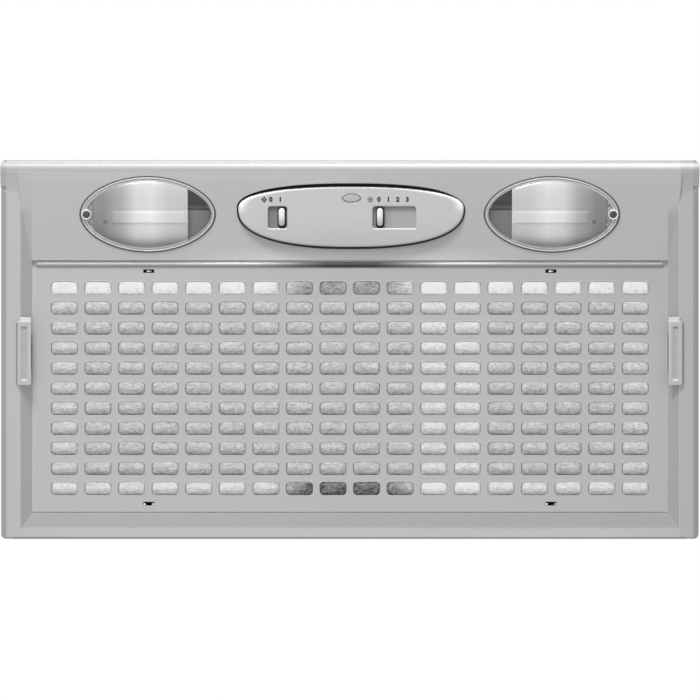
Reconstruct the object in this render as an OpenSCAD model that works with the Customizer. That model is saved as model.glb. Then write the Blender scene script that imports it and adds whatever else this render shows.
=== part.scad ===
// Built-in range hood, a cabinet insert seen from below in use.
// X runs left to right, -Y is the front and +Z is up. The origin is the middle
// of the plane in which the flange lies against the cabinet's underside.

/* [Flange] */
// Width of the flange, left to right
flange_w = 525; // [500:5:600]
// Depth of the flange, front to back
flange_d = 285; // [275:5:320]
// Corner radius of the flange in plan
corner_r = 4.5; // [3:0.5:8]
// How far the sides and the rear hang below the cabinet
flange_h = 8.5; // [8:0.5:11]
// How much lower the front rim hangs than the sides
front_drop = 4; // [3:0.5:6]
// Radius of the front rim's lower edge
front_edge_r = 6.5; // [3:0.5:7]
// Radius of the side rims' lower edge
side_edge_r = 4.3; // [2:0.1:4.5]
// Radius of the rear rim's lower edge
rear_edge_r = 2; // [1:0.5:3]
// How far the flange reaches past the casing all round
flange_lap = 17.5; // [16:0.5:19]
// Wall of the moulding
frame_wall = 2.5; // [2:0.1:3]

/* [Recess] */
// Flat strip along each side of the flange
side_strip = 14.9; // [14:0.1:15.5]
// Width of the sloping band along each side
side_band = 7.9; // [7.5:0.1:9]
// Flat strip along the rear
rear_strip = 8.1; // [7:0.1:9]
// Width of the sloping band along the rear
rear_band = 11.5; // [10.5:0.1:12]
// Depth of the recess that holds the grille
recess_h = 7; // [6:0.5:7.5]
// Width of the flat front rim
front_rim = 9.1; // [8.5:0.1:10]
// Length of the sloped control section, front to back
ramp_len = 65.4; // [64:0.2:70]
// How far the front rim's corners run back to the side strips
rim_fall = 15; // [12:1:20]

/* [Grille] */
// Thickness of the grille's plate
grille_t = 1.8; // [1.5:0.1:2.2]
// Gap round the plate
grille_gap = 0.5; // [0.4:0.1:0.8]
// Open seam along the plate's front edge
front_seam = 1.5; // [1:0.1:2]
// Width of a slot
slot_w = 20.1; // [16:0.1:21]
// Height of a slot
slot_h = 10; // [8:0.1:11]
// Corner radius of a slot
slot_r = 3; // [2:0.5:3.5]
// Pitch of the slots across
slot_pitch_x = 25.3; // [24:0.1:27]
// Pitch of the slots front to back
slot_pitch_y = 15.1; // [14:0.1:16]
// Plain strip in front of the first row
slot_front = 14.4; // [13:0.1:16]
// Least plain strip at the other three edges
slot_edge = 12; // [11:0.5:14]
// Radius of the bead along the front edge
bead_r = 1.7; // [1.4:0.1:2]
// Height of the stiffening rim above the plate
rim_h = 8.2; // [8:0.1:10]
// Thickness of the stiffening rim
rim_t = 1.6; // [1.4:0.1:2]
// Thickness of the grease mat
mat_t = 7.5; // [5:0.5:7.5]
// How far the mat swells into the slots
mat_swell = 1.2; // [0.6:0.1:1.4]
// Diameter of the mat's spring wires
wire_d = 1.5; // [1.2:0.1:1.8]
// Distance of each spring wire from the middle
wire_x = 151.5; // [140:0.5:160]
// Diameter of the hinge pins
hinge_d = 3; // [2.5:0.1:3.2]
// Height of the hinge axis above the cabinet plane
hinge_z = 1.5; // [1.2:0.1:2]

/* [Catches] */
// Length of a catch's cap
catch_len = 48.4; // [44:0.2:56]
// Width of a catch's cap
catch_w = 10.3; // [9:0.1:10.5]
// Thickness of a catch's cap
catch_t = 2.2; // [2:0.1:3]
// How far the catches' centre lies behind the flange's centre
catch_y = 2.8; // [-10:0.1:10]
// Width of the finger groove
groove_w = 4.2; // [3:0.1:5]
// Travel of a catch
catch_travel = 3; // [2:0.5:3]

/* [Lamps] */
// Half length of a lens
lens_a = 51; // [48:0.5:54]
// Half width of a lens along the slope
lens_b = 28.6; // [27:0.2:29]
// Distance of a lens's centre from the middle
lens_x = 152; // [150:0.5:158]
// Distance of the lenses' centre behind the front rim
lens_back = 31.8; // [31:0.2:33]
// How far a lens bulges below the slope
lens_bulge = 4.5; // [3:0.5:6]
// Wall of a lens
lens_wall = 1.6; // [1.2:0.1:2]
// Diameter of a bulb
bulb_d = 35; // [30:1:36]
// Height of the lamp axis above the cabinet plane
lamp_z = 18; // [17:0.5:22]
// Sheet of the lamp housings
housing_t = 1; // [0.8:0.1:1.4]

/* [Controls] */
// Half width of the control plate
plate_a = 86.2; // [80:0.2:88]
// Reach of the control plate towards the front
plate_front = 18.6; // [17:0.2:19]
// Reach of the control plate towards the rear
plate_rear = 30.1; // [28:0.2:32]
// Distance of the plate's widest line behind the front rim
plate_back = 27.8; // [27.4:0.2:29]
// Depth of the plate's face below the cabinet plane
plate_drop = 9.2; // [8.8:0.1:10]
// Thickness of the plate's face
plate_t = 2; // [1.6:0.1:2.2]
// Length of both windows, front to back
window_d = 16.3; // [14:0.1:17]
// Corner radius of the windows
window_r = 2; // [1:0.1:2.5]
// Travel of a knob from one position to the next
knob_step = 7.1; // [6:0.1:7.5]
// Width of a knob
knob_w = 5.5; // [4.5:0.1:6]

/* [Casing] */
// Height of the sheet-steel casing
casing_h = 150; // [146:1:200]
// Sheet thickness of the casing
casing_t = 0.8; // [0.6:0.1:1.2]
// Outer radius of the casing's upright corners
casing_r = 4; // [3:0.5:8]

/* [Blower] */
// Outer diameter of the impeller
wheel_d = 104; // [96:1:106]
// Length of the impeller
wheel_w = 84; // [70:1:88]
// Number of blades on each side
blades = 36; // [24:1:44]
// Thickness of a blade
blade_t = 1; // [0.8:0.1:1.4]
// Inner width of the scroll
scroll_w = 96; // [92:1:100]
// Wall of the scroll
scroll_t = 1.2; // [1:0.1:1.6]
// Diameter of the motor
motor_d = 70; // [60:1:74]
// Length of the motor
motor_l = 62; // [50:1:70]
// Diameter of the motor's shaft
shaft_d = 8; // [6:0.5:9]
// Outer diameter of the duct collar
collar_d = 120; // [118:0.5:121]
// Wall of the duct collar
collar_t = 1.5; // [1.2:0.1:2]
// Height of the duct collar above the casing
collar_h = 36; // [30:1:50]

/* [Hidden] */
$fn = 48;

// Clearances
touch_gap = 0.3;
pin_gap = 0.05;
slide_gap = 0.2;
over = 1;

// Heights of the underside
z_strip = -flange_h;
z_rim = z_strip - front_drop;
z_grille = z_strip + recess_h;
z_plate_top = z_grille + grille_t;
z_ledge = z_plate_top + touch_gap;
z_ledge_top = z_ledge + frame_wall;

// Lines of the underside in plan
half_w = flange_w / 2;
half_d = flange_d / 2;
band_x0 = half_w - side_strip;
band_x1 = band_x0 - side_band;
band_y0 = half_d - rear_strip;
band_y1 = band_y0 - rear_band;
ramp_y0 = front_rim - half_d;
ramp_y1 = ramp_y0 + ramp_len;
slope = (z_grille - z_rim) / ramp_len;
function ramp_z(y) = z_rim + (y - ramp_y0) * slope;
function ramp_top(y) = ramp_z(y) + frame_wall / cos(atan(slope));

// Casing and what locates it
case_x = half_w - flange_lap;
case_y = half_d - flange_lap;
stand_gap = touch_gap;
stand_t = 2.9;
stand_h = 8;
stand_x = case_x - casing_t - stand_gap;
stand_y = case_y - casing_t - stand_gap;
stand_end = stand_y - casing_r + 1;

// Grille plate
grille_x = band_x1 - grille_gap - 0.1;
grille_y0 = ramp_y1 + 0.8 + front_seam;
grille_y1 = band_y1 - grille_gap;
pocket_x = grille_x + grille_gap;
pocket_y0 = grille_y0 - front_seam;
rim_inset = 2.5;
rim_x = grille_x - rim_inset;
open_x = rim_x + 0.4;
open_y0 = grille_y0 + rim_inset - 0.4;
hinge_y = grille_y1 - 4.9;
edge_r = norm([grille_y1 - hinge_y, z_grille - hinge_z]);
seat_r = edge_r + grille_gap - 0.05;
ledge_y1 = hinge_y - 6;
slot_cols = floor((2 * (grille_x - slot_edge) + slot_pitch_x - slot_w) / slot_pitch_x);
slot_rows = floor((grille_y1 - slot_edge - grille_y0 - slot_front + slot_pitch_y - slot_h)
    / slot_pitch_y);
function slot_x(i) = (i - (slot_cols - 1) / 2) * slot_pitch_x;
function slot_y(j) = grille_y0 + slot_front + slot_h / 2 + j * slot_pitch_y;
wire_y0 = grille_y0 + 6.7;
wire_y1 = grille_y1 - 6;
wire_half = 2.2;
mat_y0 = wire_y0 + wire_d;
mat_y1 = wire_y1 - wire_d - 0.4;

// Catches
cap_x = grille_x + 0.4;
z_cap = z_strip - touch_gap;
stem_x = cap_x + 0.7;
stem_t = 2.5;
stem_half = 13;
tongue_t = 2;
z_tongue = z_ledge_top + touch_gap;
guide_half = 20;
guide_leg = 6;
z_guide = z_tongue + tongue_t + touch_gap;
guide_t = 1.5;
spring_t = 0.4;

// Lamps
lens_y = ramp_y0 + lens_back;
lens_n = 1.9;
lens_flange = 3.5;
lens_seat = 1;
lens_screw_x = lens_a - 5;
lens_chord_x = 10.5 - lens_a;
screw_head_r = 3;
housing_x = lens_a - 1;
housing_out = lens_screw_x - 4.5;
housing_y0 = -stand_y + stand_t + touch_gap;
housing_y1 = lens_y + lens_b - 1.5;
housing_h = lamp_z + bulb_d / 2 + 4;
lamp_y = (housing_y0 + housing_y1) / 2;
holder_l = 20;
holder_d = 24;

// Controls
plate_y = ramp_y0 + plate_back;
plate_n = 2.1;
plate_gap = 0.5;
plate_front_gap = 2.5;
z_face = -plate_drop;
z_face_top = z_face + plate_t;
window_y = plate_y + 6.75;
knob_d = window_d - 2 * slide_gap;
light_x = -52;
light_window = [light_x - knob_step - knob_w / 2 - 0.9, light_x + knob_w / 2 + 0.8];
speed_x = 21.7;
speed_steps = 3;
speed_window = [speed_x - knob_w / 2 - 2.7, speed_x + speed_steps * knob_step + knob_w / 2 + 3.2];
knob_proud = 1.4;
knob_foot_t = 0.9;
z_foot = z_face_top + touch_gap;
z_switch = z_foot + knob_foot_t + touch_gap;
switch_h = 7;
switch_d = 12;
stem_w = 3;
stem_d = 8;
stem_in = 3;
shutter_lap = 1;
carrier_t = 2;
carrier_x = 66;
post_r = 2.5;
post_y = window_d / 2 + 1 + slide_gap + post_r + 0.4;
indicator_y = plate_y - 8.3;
indicator_a = 7.5;
indicator_b = 3.45;

// Casing's inner works
part_y = ramp_y1 + 1.5;
part_t = casing_t;
z_roof = casing_h - casing_t;
wheel_r = wheel_d / 2;
blade_depth = 9;
wheel_in = wheel_r - blade_depth;
inlet_r = wheel_in + 2;
wheel_gap = 4;
wheel_ring_t = 1.4;
roof_gap = 5;
tongue_back = 14;
axis_back = 80.5;
scroll_r0 = wheel_r + wheel_gap;
axis_y = part_y + axis_back;
axis_z = z_roof - scroll_r0 - roof_gap;
throat_a = acos(tongue_back / scroll_r0);

// The scroll opens as far as leaves its lowest point clear of the mat
scroll_open = 22;
scroll_lift = 7;
low_share = (270 - throat_a) / (360 - throat_a);
scroll_room = (axis_z - scroll_r0 - scroll_t - scroll_lift - z_plate_top - mat_t - wire_d / 2) / low_share;
scroll_r1 = scroll_r0 + min(scroll_open, scroll_room);
scroll_x = scroll_w / 2;
throat_y0 = axis_y + tongue_back;
throat_y1 = axis_y + scroll_r1;
bell = 6;
collar_r = collar_d / 2;
collar_y = (throat_y0 + throat_y1) / 2;
collar_base = 2;
collar_half = collar_r + 2;
bolt_half = collar_half - 8;
stop_z = casing_h + 5;
stop_t = 1.5;
stop_w = 3;
flap_t = 1;
flap_r = collar_r - collar_t - 0.9;
z_flap = stop_z + stop_t + 0.4;
pin_z = z_flap + 2.5;
pin_d = 3;
knuckle_r = 2.6;
knuckle_l = 10;
knuckles_front = [-40, 18];
knuckles_rear = [-28, 30];
pin_boss = 4;
motor_x = 6;
hub_l = 12;
bracket_x = scroll_x + scroll_t + bell + 1;
bracket_t = 2;
bush_r = 5;
bush_l = 4;
bush_at = inlet_r + bell + bush_r + 1;
gland_in = 75;
gland_back = 30;
gland_x = gland_in - case_x;
gland_y = gland_back - case_y;
gland_bore = 4;
gland_thread_r = 8;
gland_nut_r = 11;
gland_nut_t = 5;
gland_cap_h = 9;
capacitor_in = 153;
capacitor_x = capacitor_in - case_x;
capacitor_d = 30;
capacitor_l = 42;
wiring_drop = 50;
clip_front = 65;
clip_rear = 45;
clip_ys = [clip_front - case_y, case_y - clip_rear];
screw_front = 35;
screw_rear = 65;
side_screw_ys = [screw_front - case_y, case_y - screw_rear];
front_screw_x = (plate_a + lens_x - lens_a) / 2;
screw_r = 1.45;
screw_z = stand_h - 3;

// Points of a closed curve between an ellipse and a rectangle, with its own reach
// towards the front (-Y) and towards the rear
function oval(a, front, rear, n, steps = 72) = [
    for (i = [0:steps - 1])
        let (t = 360 * i / steps, c = cos(t), s = sin(t))
        [a * sign(c) * pow(abs(c), 2 / n), (s < 0 ? front : rear) * sign(s) * pow(abs(s), 2 / n)]
];

// Solid whose sections are one oval, scaled and raised as the profile says.
// The profile's first and last points lie on the axis.
module oval_loft(a, b, n, profile, steps = 40) {
    ring = oval(a, b, b, n, steps);
    rings = len(profile) - 2;
    points = concat(
        [[0, 0, profile[0][1]]],
        [for (k = [1:rings]) for (p = ring) [p[0] * profile[k][0], p[1] * profile[k][0], profile[k][1]]],
        [[0, 0, profile[rings + 1][1]]]
    );
    last = len(points) - 1;
    first = 1 + (rings - 1) * steps;
    faces = concat(
        [for (i = [0:steps - 1]) [0, 1 + i, 1 + (i + 1) % steps]],
        [for (k = [0:rings - 2]) for (i = [0:steps - 1])
            let (a0 = 1 + k * steps + i, a1 = 1 + k * steps + (i + 1) % steps)
            [a0, a0 + steps, a1]],
        [for (k = [0:rings - 2]) for (i = [0:steps - 1])
            let (a0 = 1 + k * steps + i, a1 = 1 + k * steps + (i + 1) % steps)
            [a1, a0 + steps, a1 + steps]],
        [for (i = [0:steps - 1]) [last, first + (i + 1) % steps, first + i]]
    );
    polyhedron(points = points, faces = faces);
}

// Tube along a list of points, mitred at each of them
function unit(v) = v / norm(v);
function heading(path, i) =
    i == 0 ? unit(path[1] - path[0])
    : i == len(path) - 1 ? unit(path[i] - path[i - 1])
    : unit(unit(path[i] - path[i - 1]) + unit(path[i + 1] - path[i]));
module tube(path, r, sides = 8) {
    aside = [0.35, 0.2, 0.91];
    count = len(path);
    points = [
        for (i = [0:count - 1])
            let (t = heading(path, i), u = unit(cross(aside, t)), v = cross(t, u))
            for (k = [0:sides - 1])
                path[i] + r * (cos(360 * k / sides) * u + sin(360 * k / sides) * v)
    ];
    faces = concat(
        [[for (k = [0:sides - 1]) sides - 1 - k]],
        [for (i = [0:count - 2]) for (k = [0:sides - 1])
            let (k1 = (k + 1) % sides)
            [i * sides + k, i * sides + k1, (i + 1) * sides + k1, (i + 1) * sides + k]],
        [[for (k = [0:sides - 1]) (count - 1) * sides + k]]
    );
    polyhedron(points = points, faces = faces);
}

// A YZ outline drawn out along X, centred
module along_x(w) {
    translate([-w / 2, 0, 0])
        rotate([90, 0, 90])
            linear_extrude(w)
                children();
}

// An XZ outline drawn out along Y
module along_y(y0, y1) {
    translate([0, y1, 0])
        rotate([90, 0, 0])
            linear_extrude(y1 - y0)
                children();
}

// Pillow that hangs down from z = 0 and narrows as it goes
module swelling(w, d, drop) {
    root = 0.2;
    taper = [w * 0.08, d * 0.15];
    corners = [[-1, -1], [1, -1], [1, 1], [-1, 1]];
    points = concat(
        [for (c = corners) [c[0] * w / 2, c[1] * d / 2, root]],
        [for (c = corners) [c[0] * (w / 2 - taper[0]), c[1] * (d / 2 - taper[1]), -drop]]
    );
    polyhedron(points = points, faces = [
        [3, 2, 1, 0], [4, 5, 6, 7], [0, 1, 5, 4], [1, 2, 6, 5], [2, 3, 7, 6], [3, 0, 4, 7]
    ]);
}

// A box given by its two corners
module block(low, high) {
    translate(low)
        cube(high - low);
}

// The same thing on both sides
module both_sides() {
    children();
    mirror([1, 0, 0])
        children();
}

// Rectangle with round corners, centred
module round_rect(w, d, r) {
    square([w, d - 2 * r], center = true);
    square([w - 2 * r, d], center = true);
    for (x = [-1, 1])
        for (y = [-1, 1])
            translate([x * (w / 2 - r), y * (d / 2 - r)])
                circle(r = r, $fn = 32);
}

// Puts things on the slope: their z is square to it, and positive is inwards
module on_ramp(x, y) {
    translate([x, y, ramp_z(y)])
        rotate([atan(slope), 0, 0])
            children();
}

// Pan-head screw along +Z with its head's seat at z = 0
module screw(length, head_r = 2.8, head_h = 1.6) {
    translate([0, 0, -head_h])
        cylinder(r = head_r, h = head_h);
    cylinder(r = screw_r, h = length);
}

// What rounds the lower edge of a rim: its sharp corner lies on the local Z axis
module edge_cutter(r, length) {
    difference() {
        translate([-over, -over, -length / 2])
            cube([r + over, r + over, length]);
        translate([r, r, -length / 2 - over])
            cylinder(r = r, h = length + 2 * over, $fn = 64);
    }
}

module flange_body() {
    difference() {
        intersection() {
            along_x(flange_w)
                polygon([
                    [-half_d, 0], [-half_d, z_rim], [ramp_y0, z_rim],
                    [ramp_y0 + rim_fall, z_strip], [half_d, z_strip], [half_d, 0]
                ]);
            translate([0, 0, z_rim - over])
                linear_extrude(-z_rim + over)
                    round_rect(flange_w, flange_d, corner_r);
        }
        translate([0, -half_d, z_rim])
            rotate([90, 0, 90])
                edge_cutter(front_edge_r, flange_w + 2);
        both_sides()
            translate([-half_w, 0, z_strip])
                rotate([90, 0, 0])
                    edge_cutter(side_edge_r, flange_d + 2);
        translate([0, half_d, z_strip])
            rotate([90, 0, 90])
                mirror([1, 0, 0])
                    edge_cutter(rear_edge_r, flange_w + 2);
    }
}

// Space below the bands, the grille and the rear part of the slope
module recess() {
    deep = 20;
    side_run = side_band / recess_h;
    rear_run = rear_band / recess_h;
    intersection() {
        along_y(-half_d - over, half_d + over)
            polygon([
                [-band_x1, z_grille], [band_x1, z_grille],
                [band_x0 + deep * side_run, z_strip - deep], [-band_x0 - deep * side_run, z_strip - deep]
            ]);
        along_x(flange_w + 40)
            polygon([
                [ramp_y1, z_grille], [band_y1, z_grille],
                [band_y0 + deep * rear_run, z_strip - deep],
                [ramp_y1 - (recess_h + deep) / slope, z_strip - deep]
            ]);
    }
}

// The part of the slope that stands below the side strips
module ramp_apron() {
    meet_y = ramp_y0 + (z_strip - z_rim) / slope;
    foot_x = band_x0 + 2.6;
    intersection() {
        along_x(flange_w)
            polygon([
                [ramp_y0 - over, z_rim], [ramp_y0, z_rim], [meet_y, z_strip],
                [meet_y, z_strip + over], [ramp_y0 - over, z_strip + over]
            ]);
        translate([0, 0, z_rim - over])
            linear_extrude(front_drop + 3)
                polygon([
                    [-foot_x, ramp_y0 - over], [foot_x, ramp_y0 - over],
                    [band_x0, meet_y], [-band_x0, meet_y]
                ]);
    }
}

// Walls and ledges inside the cut-out, before the grille's pocket is cut
module stands() {
    block([-stand_x + casing_r, -stand_y, z_rim], [stand_x - casing_r, -stand_y + stand_t, stand_h]);
    both_sides() {
        block([stand_x - stand_t, -stand_y + casing_r, z_grille], [stand_x, stand_end, stand_h]);
        block([open_x, ramp_y1, z_grille], [stand_x - stand_t + over, ledge_y1, z_ledge_top]);
        block([pocket_x, ledge_y1 - over, z_grille], [stand_x, stand_end, stand_h - 2]);
    }
    block([-stand_x + over, ramp_y1 - 3, z_grille], [stand_x - over, open_y0, z_ledge_top]);
}

// Room above the slope's moulded wall
module hollow() {
    along_x(2 * (stand_x - stand_t))
        polygon([
            [-stand_y + stand_t, stand_h + over], [-stand_y + stand_t, ramp_top(-stand_y + stand_t)],
            [ramp_y1 - 3, ramp_top(ramp_y1 - 3)], [ramp_y1 - 3, stand_h + over]
        ]);
}

module grille_pocket() {
    block([-pocket_x, pocket_y0, z_rim], [pocket_x, hinge_y, z_ledge]);
    block([-open_x, open_y0, z_rim], [open_x, hinge_y, stand_h + over]);
    block([-pocket_x, ledge_y1, z_rim], [pocket_x, hinge_y, stand_h + over]);
    translate([0, hinge_y, hinge_z])
        rotate([0, 90, 0])
            cylinder(r = seat_r, h = 2 * pocket_x, center = true, $fn = 96);
    block([-pocket_x, hinge_y - over, hinge_z], [pocket_x, hinge_y + seat_r, stand_h + over]);
}

// Weight-saving pockets in the flange's upper side, split by ribs
module cored_run(length, width, depth) {
    rib = 2.5;
    count = max(1, floor(length / 32));
    step = length / count;
    for (i = [0:count - 1])
        translate([-length / 2 + i * step + rib / 2, 0, -depth])
            cube([step - rib, width, depth + over]);
}

module coring() {
    floor_z = flange_h - frame_wall;
    wall = 2.6;
    both_sides()
        translate([half_w - wall, 0, 0])
            rotate([0, 0, 90])
                cored_run(flange_d - 2 * flange_lap, side_strip - wall - 1, floor_z);
    translate([0, half_d - wall - (rear_strip - wall - 0.1), 0])
        cored_run(flange_w - 4 * flange_lap, rear_strip - wall - 0.1, floor_z);
    translate([0, -half_d + wall, 0])
        cored_run(flange_w - 4 * flange_lap, front_rim + 1.5, floor_z + front_drop - 1.5);
}

module catch_slot() {
    slot_half = stem_half + 0.4;
    slot_x1 = stem_x + stem_t + catch_travel + 0.3;
    block([pocket_x - over, catch_y - slot_half, z_rim], [slot_x1, catch_y + slot_half, z_ledge]);
    block([stem_x - touch_gap, catch_y - slot_half, z_rim], [slot_x1, catch_y + slot_half, stand_h + over]);
    block([open_x - over, catch_y - guide_half - 0.5, z_ledge_top],
        [stand_x + over, catch_y + guide_half + 0.5, stand_h + over]);
}

module lens_opening() {
    on_ramp(-lens_x, lens_y) {
        translate([0, 0, -8])
            linear_extrude(8 + lens_seat)
                polygon(oval(lens_a + 0.4, lens_b + 0.4, lens_b + 0.4, lens_n));
        difference() {
            translate([0, 0, -8])
                linear_extrude(8 + frame_wall + 0.6)
                    polygon(oval(lens_a - lens_flange, lens_b - lens_flange,
                        lens_b - lens_flange, lens_n));
            translate([-lens_screw_x, 0, 0])
                cylinder(r = 4.2, h = 10);
        }
        translate([-lens_screw_x, 0, 0])
            cylinder(r = screw_r, h = 12);
    }
}

module plate_opening() {
    translate([0, plate_y, z_rim - over])
        linear_extrude(z_face_top + touch_gap - z_rim + over)
            polygon(oval(plate_a + plate_gap, plate_front + plate_front_gap,
                plate_rear + plate_gap, plate_n));
    intersection() {
        translate([0, plate_y, z_rim - over])
            linear_extrude(20)
                polygon(oval(plate_a + plate_gap, plate_front + plate_front_gap,
                    plate_rear + plate_gap, plate_n));
        block([-plate_a - 5, -stand_y + stand_t, z_rim - over], [plate_a + 5, ramp_y1 - 3, 15]);
    }
}

module frame_screw_holes() {
    both_sides() {
        for (y = side_screw_ys)
            translate([stand_x + over, y, screw_z])
                rotate([0, -90, 0])
                    cylinder(r = screw_r, h = 5);
        translate([front_screw_x, -stand_y - over, screw_z])
            rotate([-90, 0, 0])
                cylinder(r = screw_r, h = 5);
        for (s = [-1, 1])
            translate([guide_screw_x(), catch_y + s * (guide_half - guide_leg / 2), z_ledge])
                cylinder(r = screw_r - 0.45, h = 6);
    }
}

function guide_screw_x() = (open_x + touch_gap + stand_x) / 2;

module underside_frame() {
    color([0.74, 0.74, 0.74])
        difference() {
            union() {
                difference() {
                    union() {
                        flange_body();
                        stands();
                    }
                    recess();
                }
                ramp_apron();
            }
            hollow();
            grille_pocket();
            coring();
            both_sides() {
                catch_slot();
                lens_opening();
                translate([0, hinge_y, hinge_z])
                    rotate([0, 90, 0])
                        cylinder(r = hinge_d / 2 + pin_gap, h = half_w - 2 * flange_lap + 18);
            }
            plate_opening();
            frame_screw_holes();
        }
}

// Walls of the casing, bent from one strip and notched for the catches
module casing() {
    notch = stem_half + 2;
    color([0.78, 0.79, 0.8])
        difference() {
            linear_extrude(z_roof)
                difference() {
                    round_rect(2 * case_x, 2 * case_y, casing_r);
                    round_rect(2 * (case_x - casing_t), 2 * (case_y - casing_t), casing_r - casing_t);
                }
            both_sides() {
                block([stand_x, catch_y - notch, -over], [case_x + over, catch_y + notch, stand_h]);
                for (y = side_screw_ys)
                    translate([stand_x, y, screw_z])
                        rotate([0, 90, 0])
                            cylinder(r = screw_r + 0.2, h = 5);
                translate([front_screw_x, -stand_y, screw_z])
                    rotate([90, 0, 0])
                        cylinder(r = screw_r + 0.2, h = 5);
            }
        }
}

module casing_top() {
    color([0.78, 0.79, 0.8])
        translate([0, 0, z_roof])
            linear_extrude(casing_t)
                difference() {
                    round_rect(2 * case_x, 2 * case_y, casing_r);
                    translate([0, collar_y])
                        circle(r = collar_r - collar_t, $fn = 96);
                    translate([gland_x, gland_y])
                        circle(r = gland_thread_r);
                    for (x = [-1, 1])
                        for (y = [-1, 1])
                            translate([x * bolt_half, collar_y + y * bolt_half])
                                circle(r = screw_r);
                }
}

module partition() {
    lip = 12;
    low_x = stand_x - stand_t - touch_gap;
    color([0.72, 0.73, 0.75]) {
        block([-low_x, part_y - part_t, z_ledge_top], [low_x, part_y, stand_h + over]);
        block([-stand_x, part_y - part_t, stand_h + touch_gap], [stand_x, part_y, z_roof]);
        both_sides()
            block([case_x - casing_t - part_t, part_y - lip, stand_h + 2],
                [case_x - casing_t, part_y, z_roof]);
        block([-stand_x, part_y - lip, z_roof - part_t], [stand_x, part_y, z_roof]);
    }
}

module grille_plate_outline() {
    front_r = 3;
    difference() {
        union() {
            translate([-grille_x, grille_y0 + bead_r + front_r])
                square([2 * grille_x, hinge_y - grille_y0 - bead_r - front_r + over]);
            translate([-grille_x + front_r, grille_y0 + bead_r])
                square([2 * (grille_x - front_r), front_r + over]);
            for (s = [-1, 1])
                translate([s * (grille_x - front_r), grille_y0 + bead_r + front_r])
                    circle(r = front_r, $fn = 32);
        }
        for (i = [0:slot_cols - 1])
            for (j = [0:slot_rows - 1])
                translate([slot_x(i), slot_y(j)])
                    round_rect(slot_w, slot_h, slot_r);
        for (s = [-1, 1]) {
            translate([s * wire_x, wire_y0])
                square([8.2, 2.6], center = true);
            translate([s * wire_x, wire_y1])
                square([8, 3.2], center = true);
        }
    }
}

module filter_grille() {
    rim_y0 = grille_y0 + rim_inset;
    rim_y1 = hinge_y + 2.4;
    lug_in = rim_x - 3;
    lug_out = grille_x - 0.4;
    keeper = stem_half + 0.6;
    color([0.75, 0.75, 0.75])
        difference() {
            union() {
                translate([0, 0, z_grille])
                    linear_extrude(grille_t)
                        grille_plate_outline();
                intersection() {
                    block([-grille_x, hinge_y, z_grille], [grille_x, grille_y1 + 3, z_plate_top]);
                    translate([0, hinge_y, hinge_z])
                        rotate([0, 90, 0])
                            cylinder(r = edge_r, h = 2 * grille_x, center = true, $fn = 96);
                }
                translate([0, grille_y0 + bead_r, z_plate_top - bead_r]) {
                    rotate([0, 90, 0])
                        cylinder(r = bead_r, h = 2 * (grille_x - 4.5), center = true);
                    both_sides()
                        translate([grille_x - 4.5, 0, 0])
                            sphere(r = bead_r);
                }
                difference() {
                    block([-rim_x, rim_y0, z_plate_top - 0.2], [rim_x, rim_y1, z_plate_top + rim_h]);
                    block([-rim_x + rim_t, rim_y0 + rim_t, z_plate_top - over],
                        [rim_x - rim_t, rim_y1 - rim_t, z_plate_top + rim_h + over]);
                }
                both_sides()
                    block([lug_in, hinge_y - 3, z_plate_top - 0.2], [lug_out, hinge_y + 2.4, hinge_z + 3]);
            }
            both_sides() {
                translate([0, hinge_y, hinge_z])
                    rotate([0, 90, 0])
                        cylinder(r = hinge_d / 2, h = half_w);
                block([rim_x - rim_t - over, catch_y - keeper, z_tongue - touch_gap],
                    [rim_x + over, catch_y + keeper, z_tongue + tongue_t + touch_gap]);
            }
            block([-lug_in + 0.01, hinge_y - 2, z_plate_top], [lug_in - 0.01, hinge_y + 0.5, hinge_z + 2]);
        }
}

module hinge_pins() {
    color([0.8, 0.8, 0.8])
        both_sides()
            translate([rim_x - 3, hinge_y, hinge_z])
                rotate([0, 90, 0])
                    cylinder(r = hinge_d / 2, h = stand_x - 0.3 - rim_x + 3);
}

module filter_mat() {
    side = rim_x - rim_t - touch_gap;
    swell_gap = 0.6;
    color([0.93, 0.93, 0.92]) {
        block([-side, mat_y0, z_plate_top], [side, mat_y1, z_plate_top + mat_t]);
        for (i = [0:slot_cols - 1])
            for (j = [0:slot_rows - 1])
                translate([slot_x(i), slot_y(j), z_plate_top])
                    swelling(slot_w - 2 * swell_gap, slot_h - 2 * swell_gap, mat_swell);
    }
}

// Hairpin: a loop in the front slot, two legs over the mat, two ends in the rear slot
module mat_wire() {
    z_top = z_plate_top + mat_t + wire_d / 2 + 0.1;
    z_low = z_grille + wire_half + wire_d / 2 + 0.2;
    loop = [
        for (i = [0:8])
            let (t = 180 + 22.5 * i)
            [wire_half * cos(t), wire_y0, z_low + wire_half * sin(t)]
    ];
    leg_out = [
        [wire_half, wire_y0, z_top - 1.2], [wire_half, wire_y0 + 0.4, z_top - 0.4],
        [wire_half, wire_y0 + 1.2, z_top], [wire_half, wire_y1 - 1.2, z_top],
        [wire_half, wire_y1 - 0.4, z_top - 0.4], [wire_half, wire_y1, z_top - 1.2],
        [wire_half + 0.9, wire_y1 + 0.1, z_grille + 0.4]
    ];
    leg_in = [for (i = [len(leg_out) - 1:-1:0]) [-leg_out[i][0], leg_out[i][1], leg_out[i][2]]];
    color([0.9, 0.9, 0.9])
        tube(concat(leg_in, loop, leg_out), wire_d / 2);
}

module left_mat_wire() {
    translate([-wire_x, 0, 0])
        mat_wire();
}

module right_mat_wire() {
    translate([wire_x, 0, 0])
        mat_wire();
}

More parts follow.
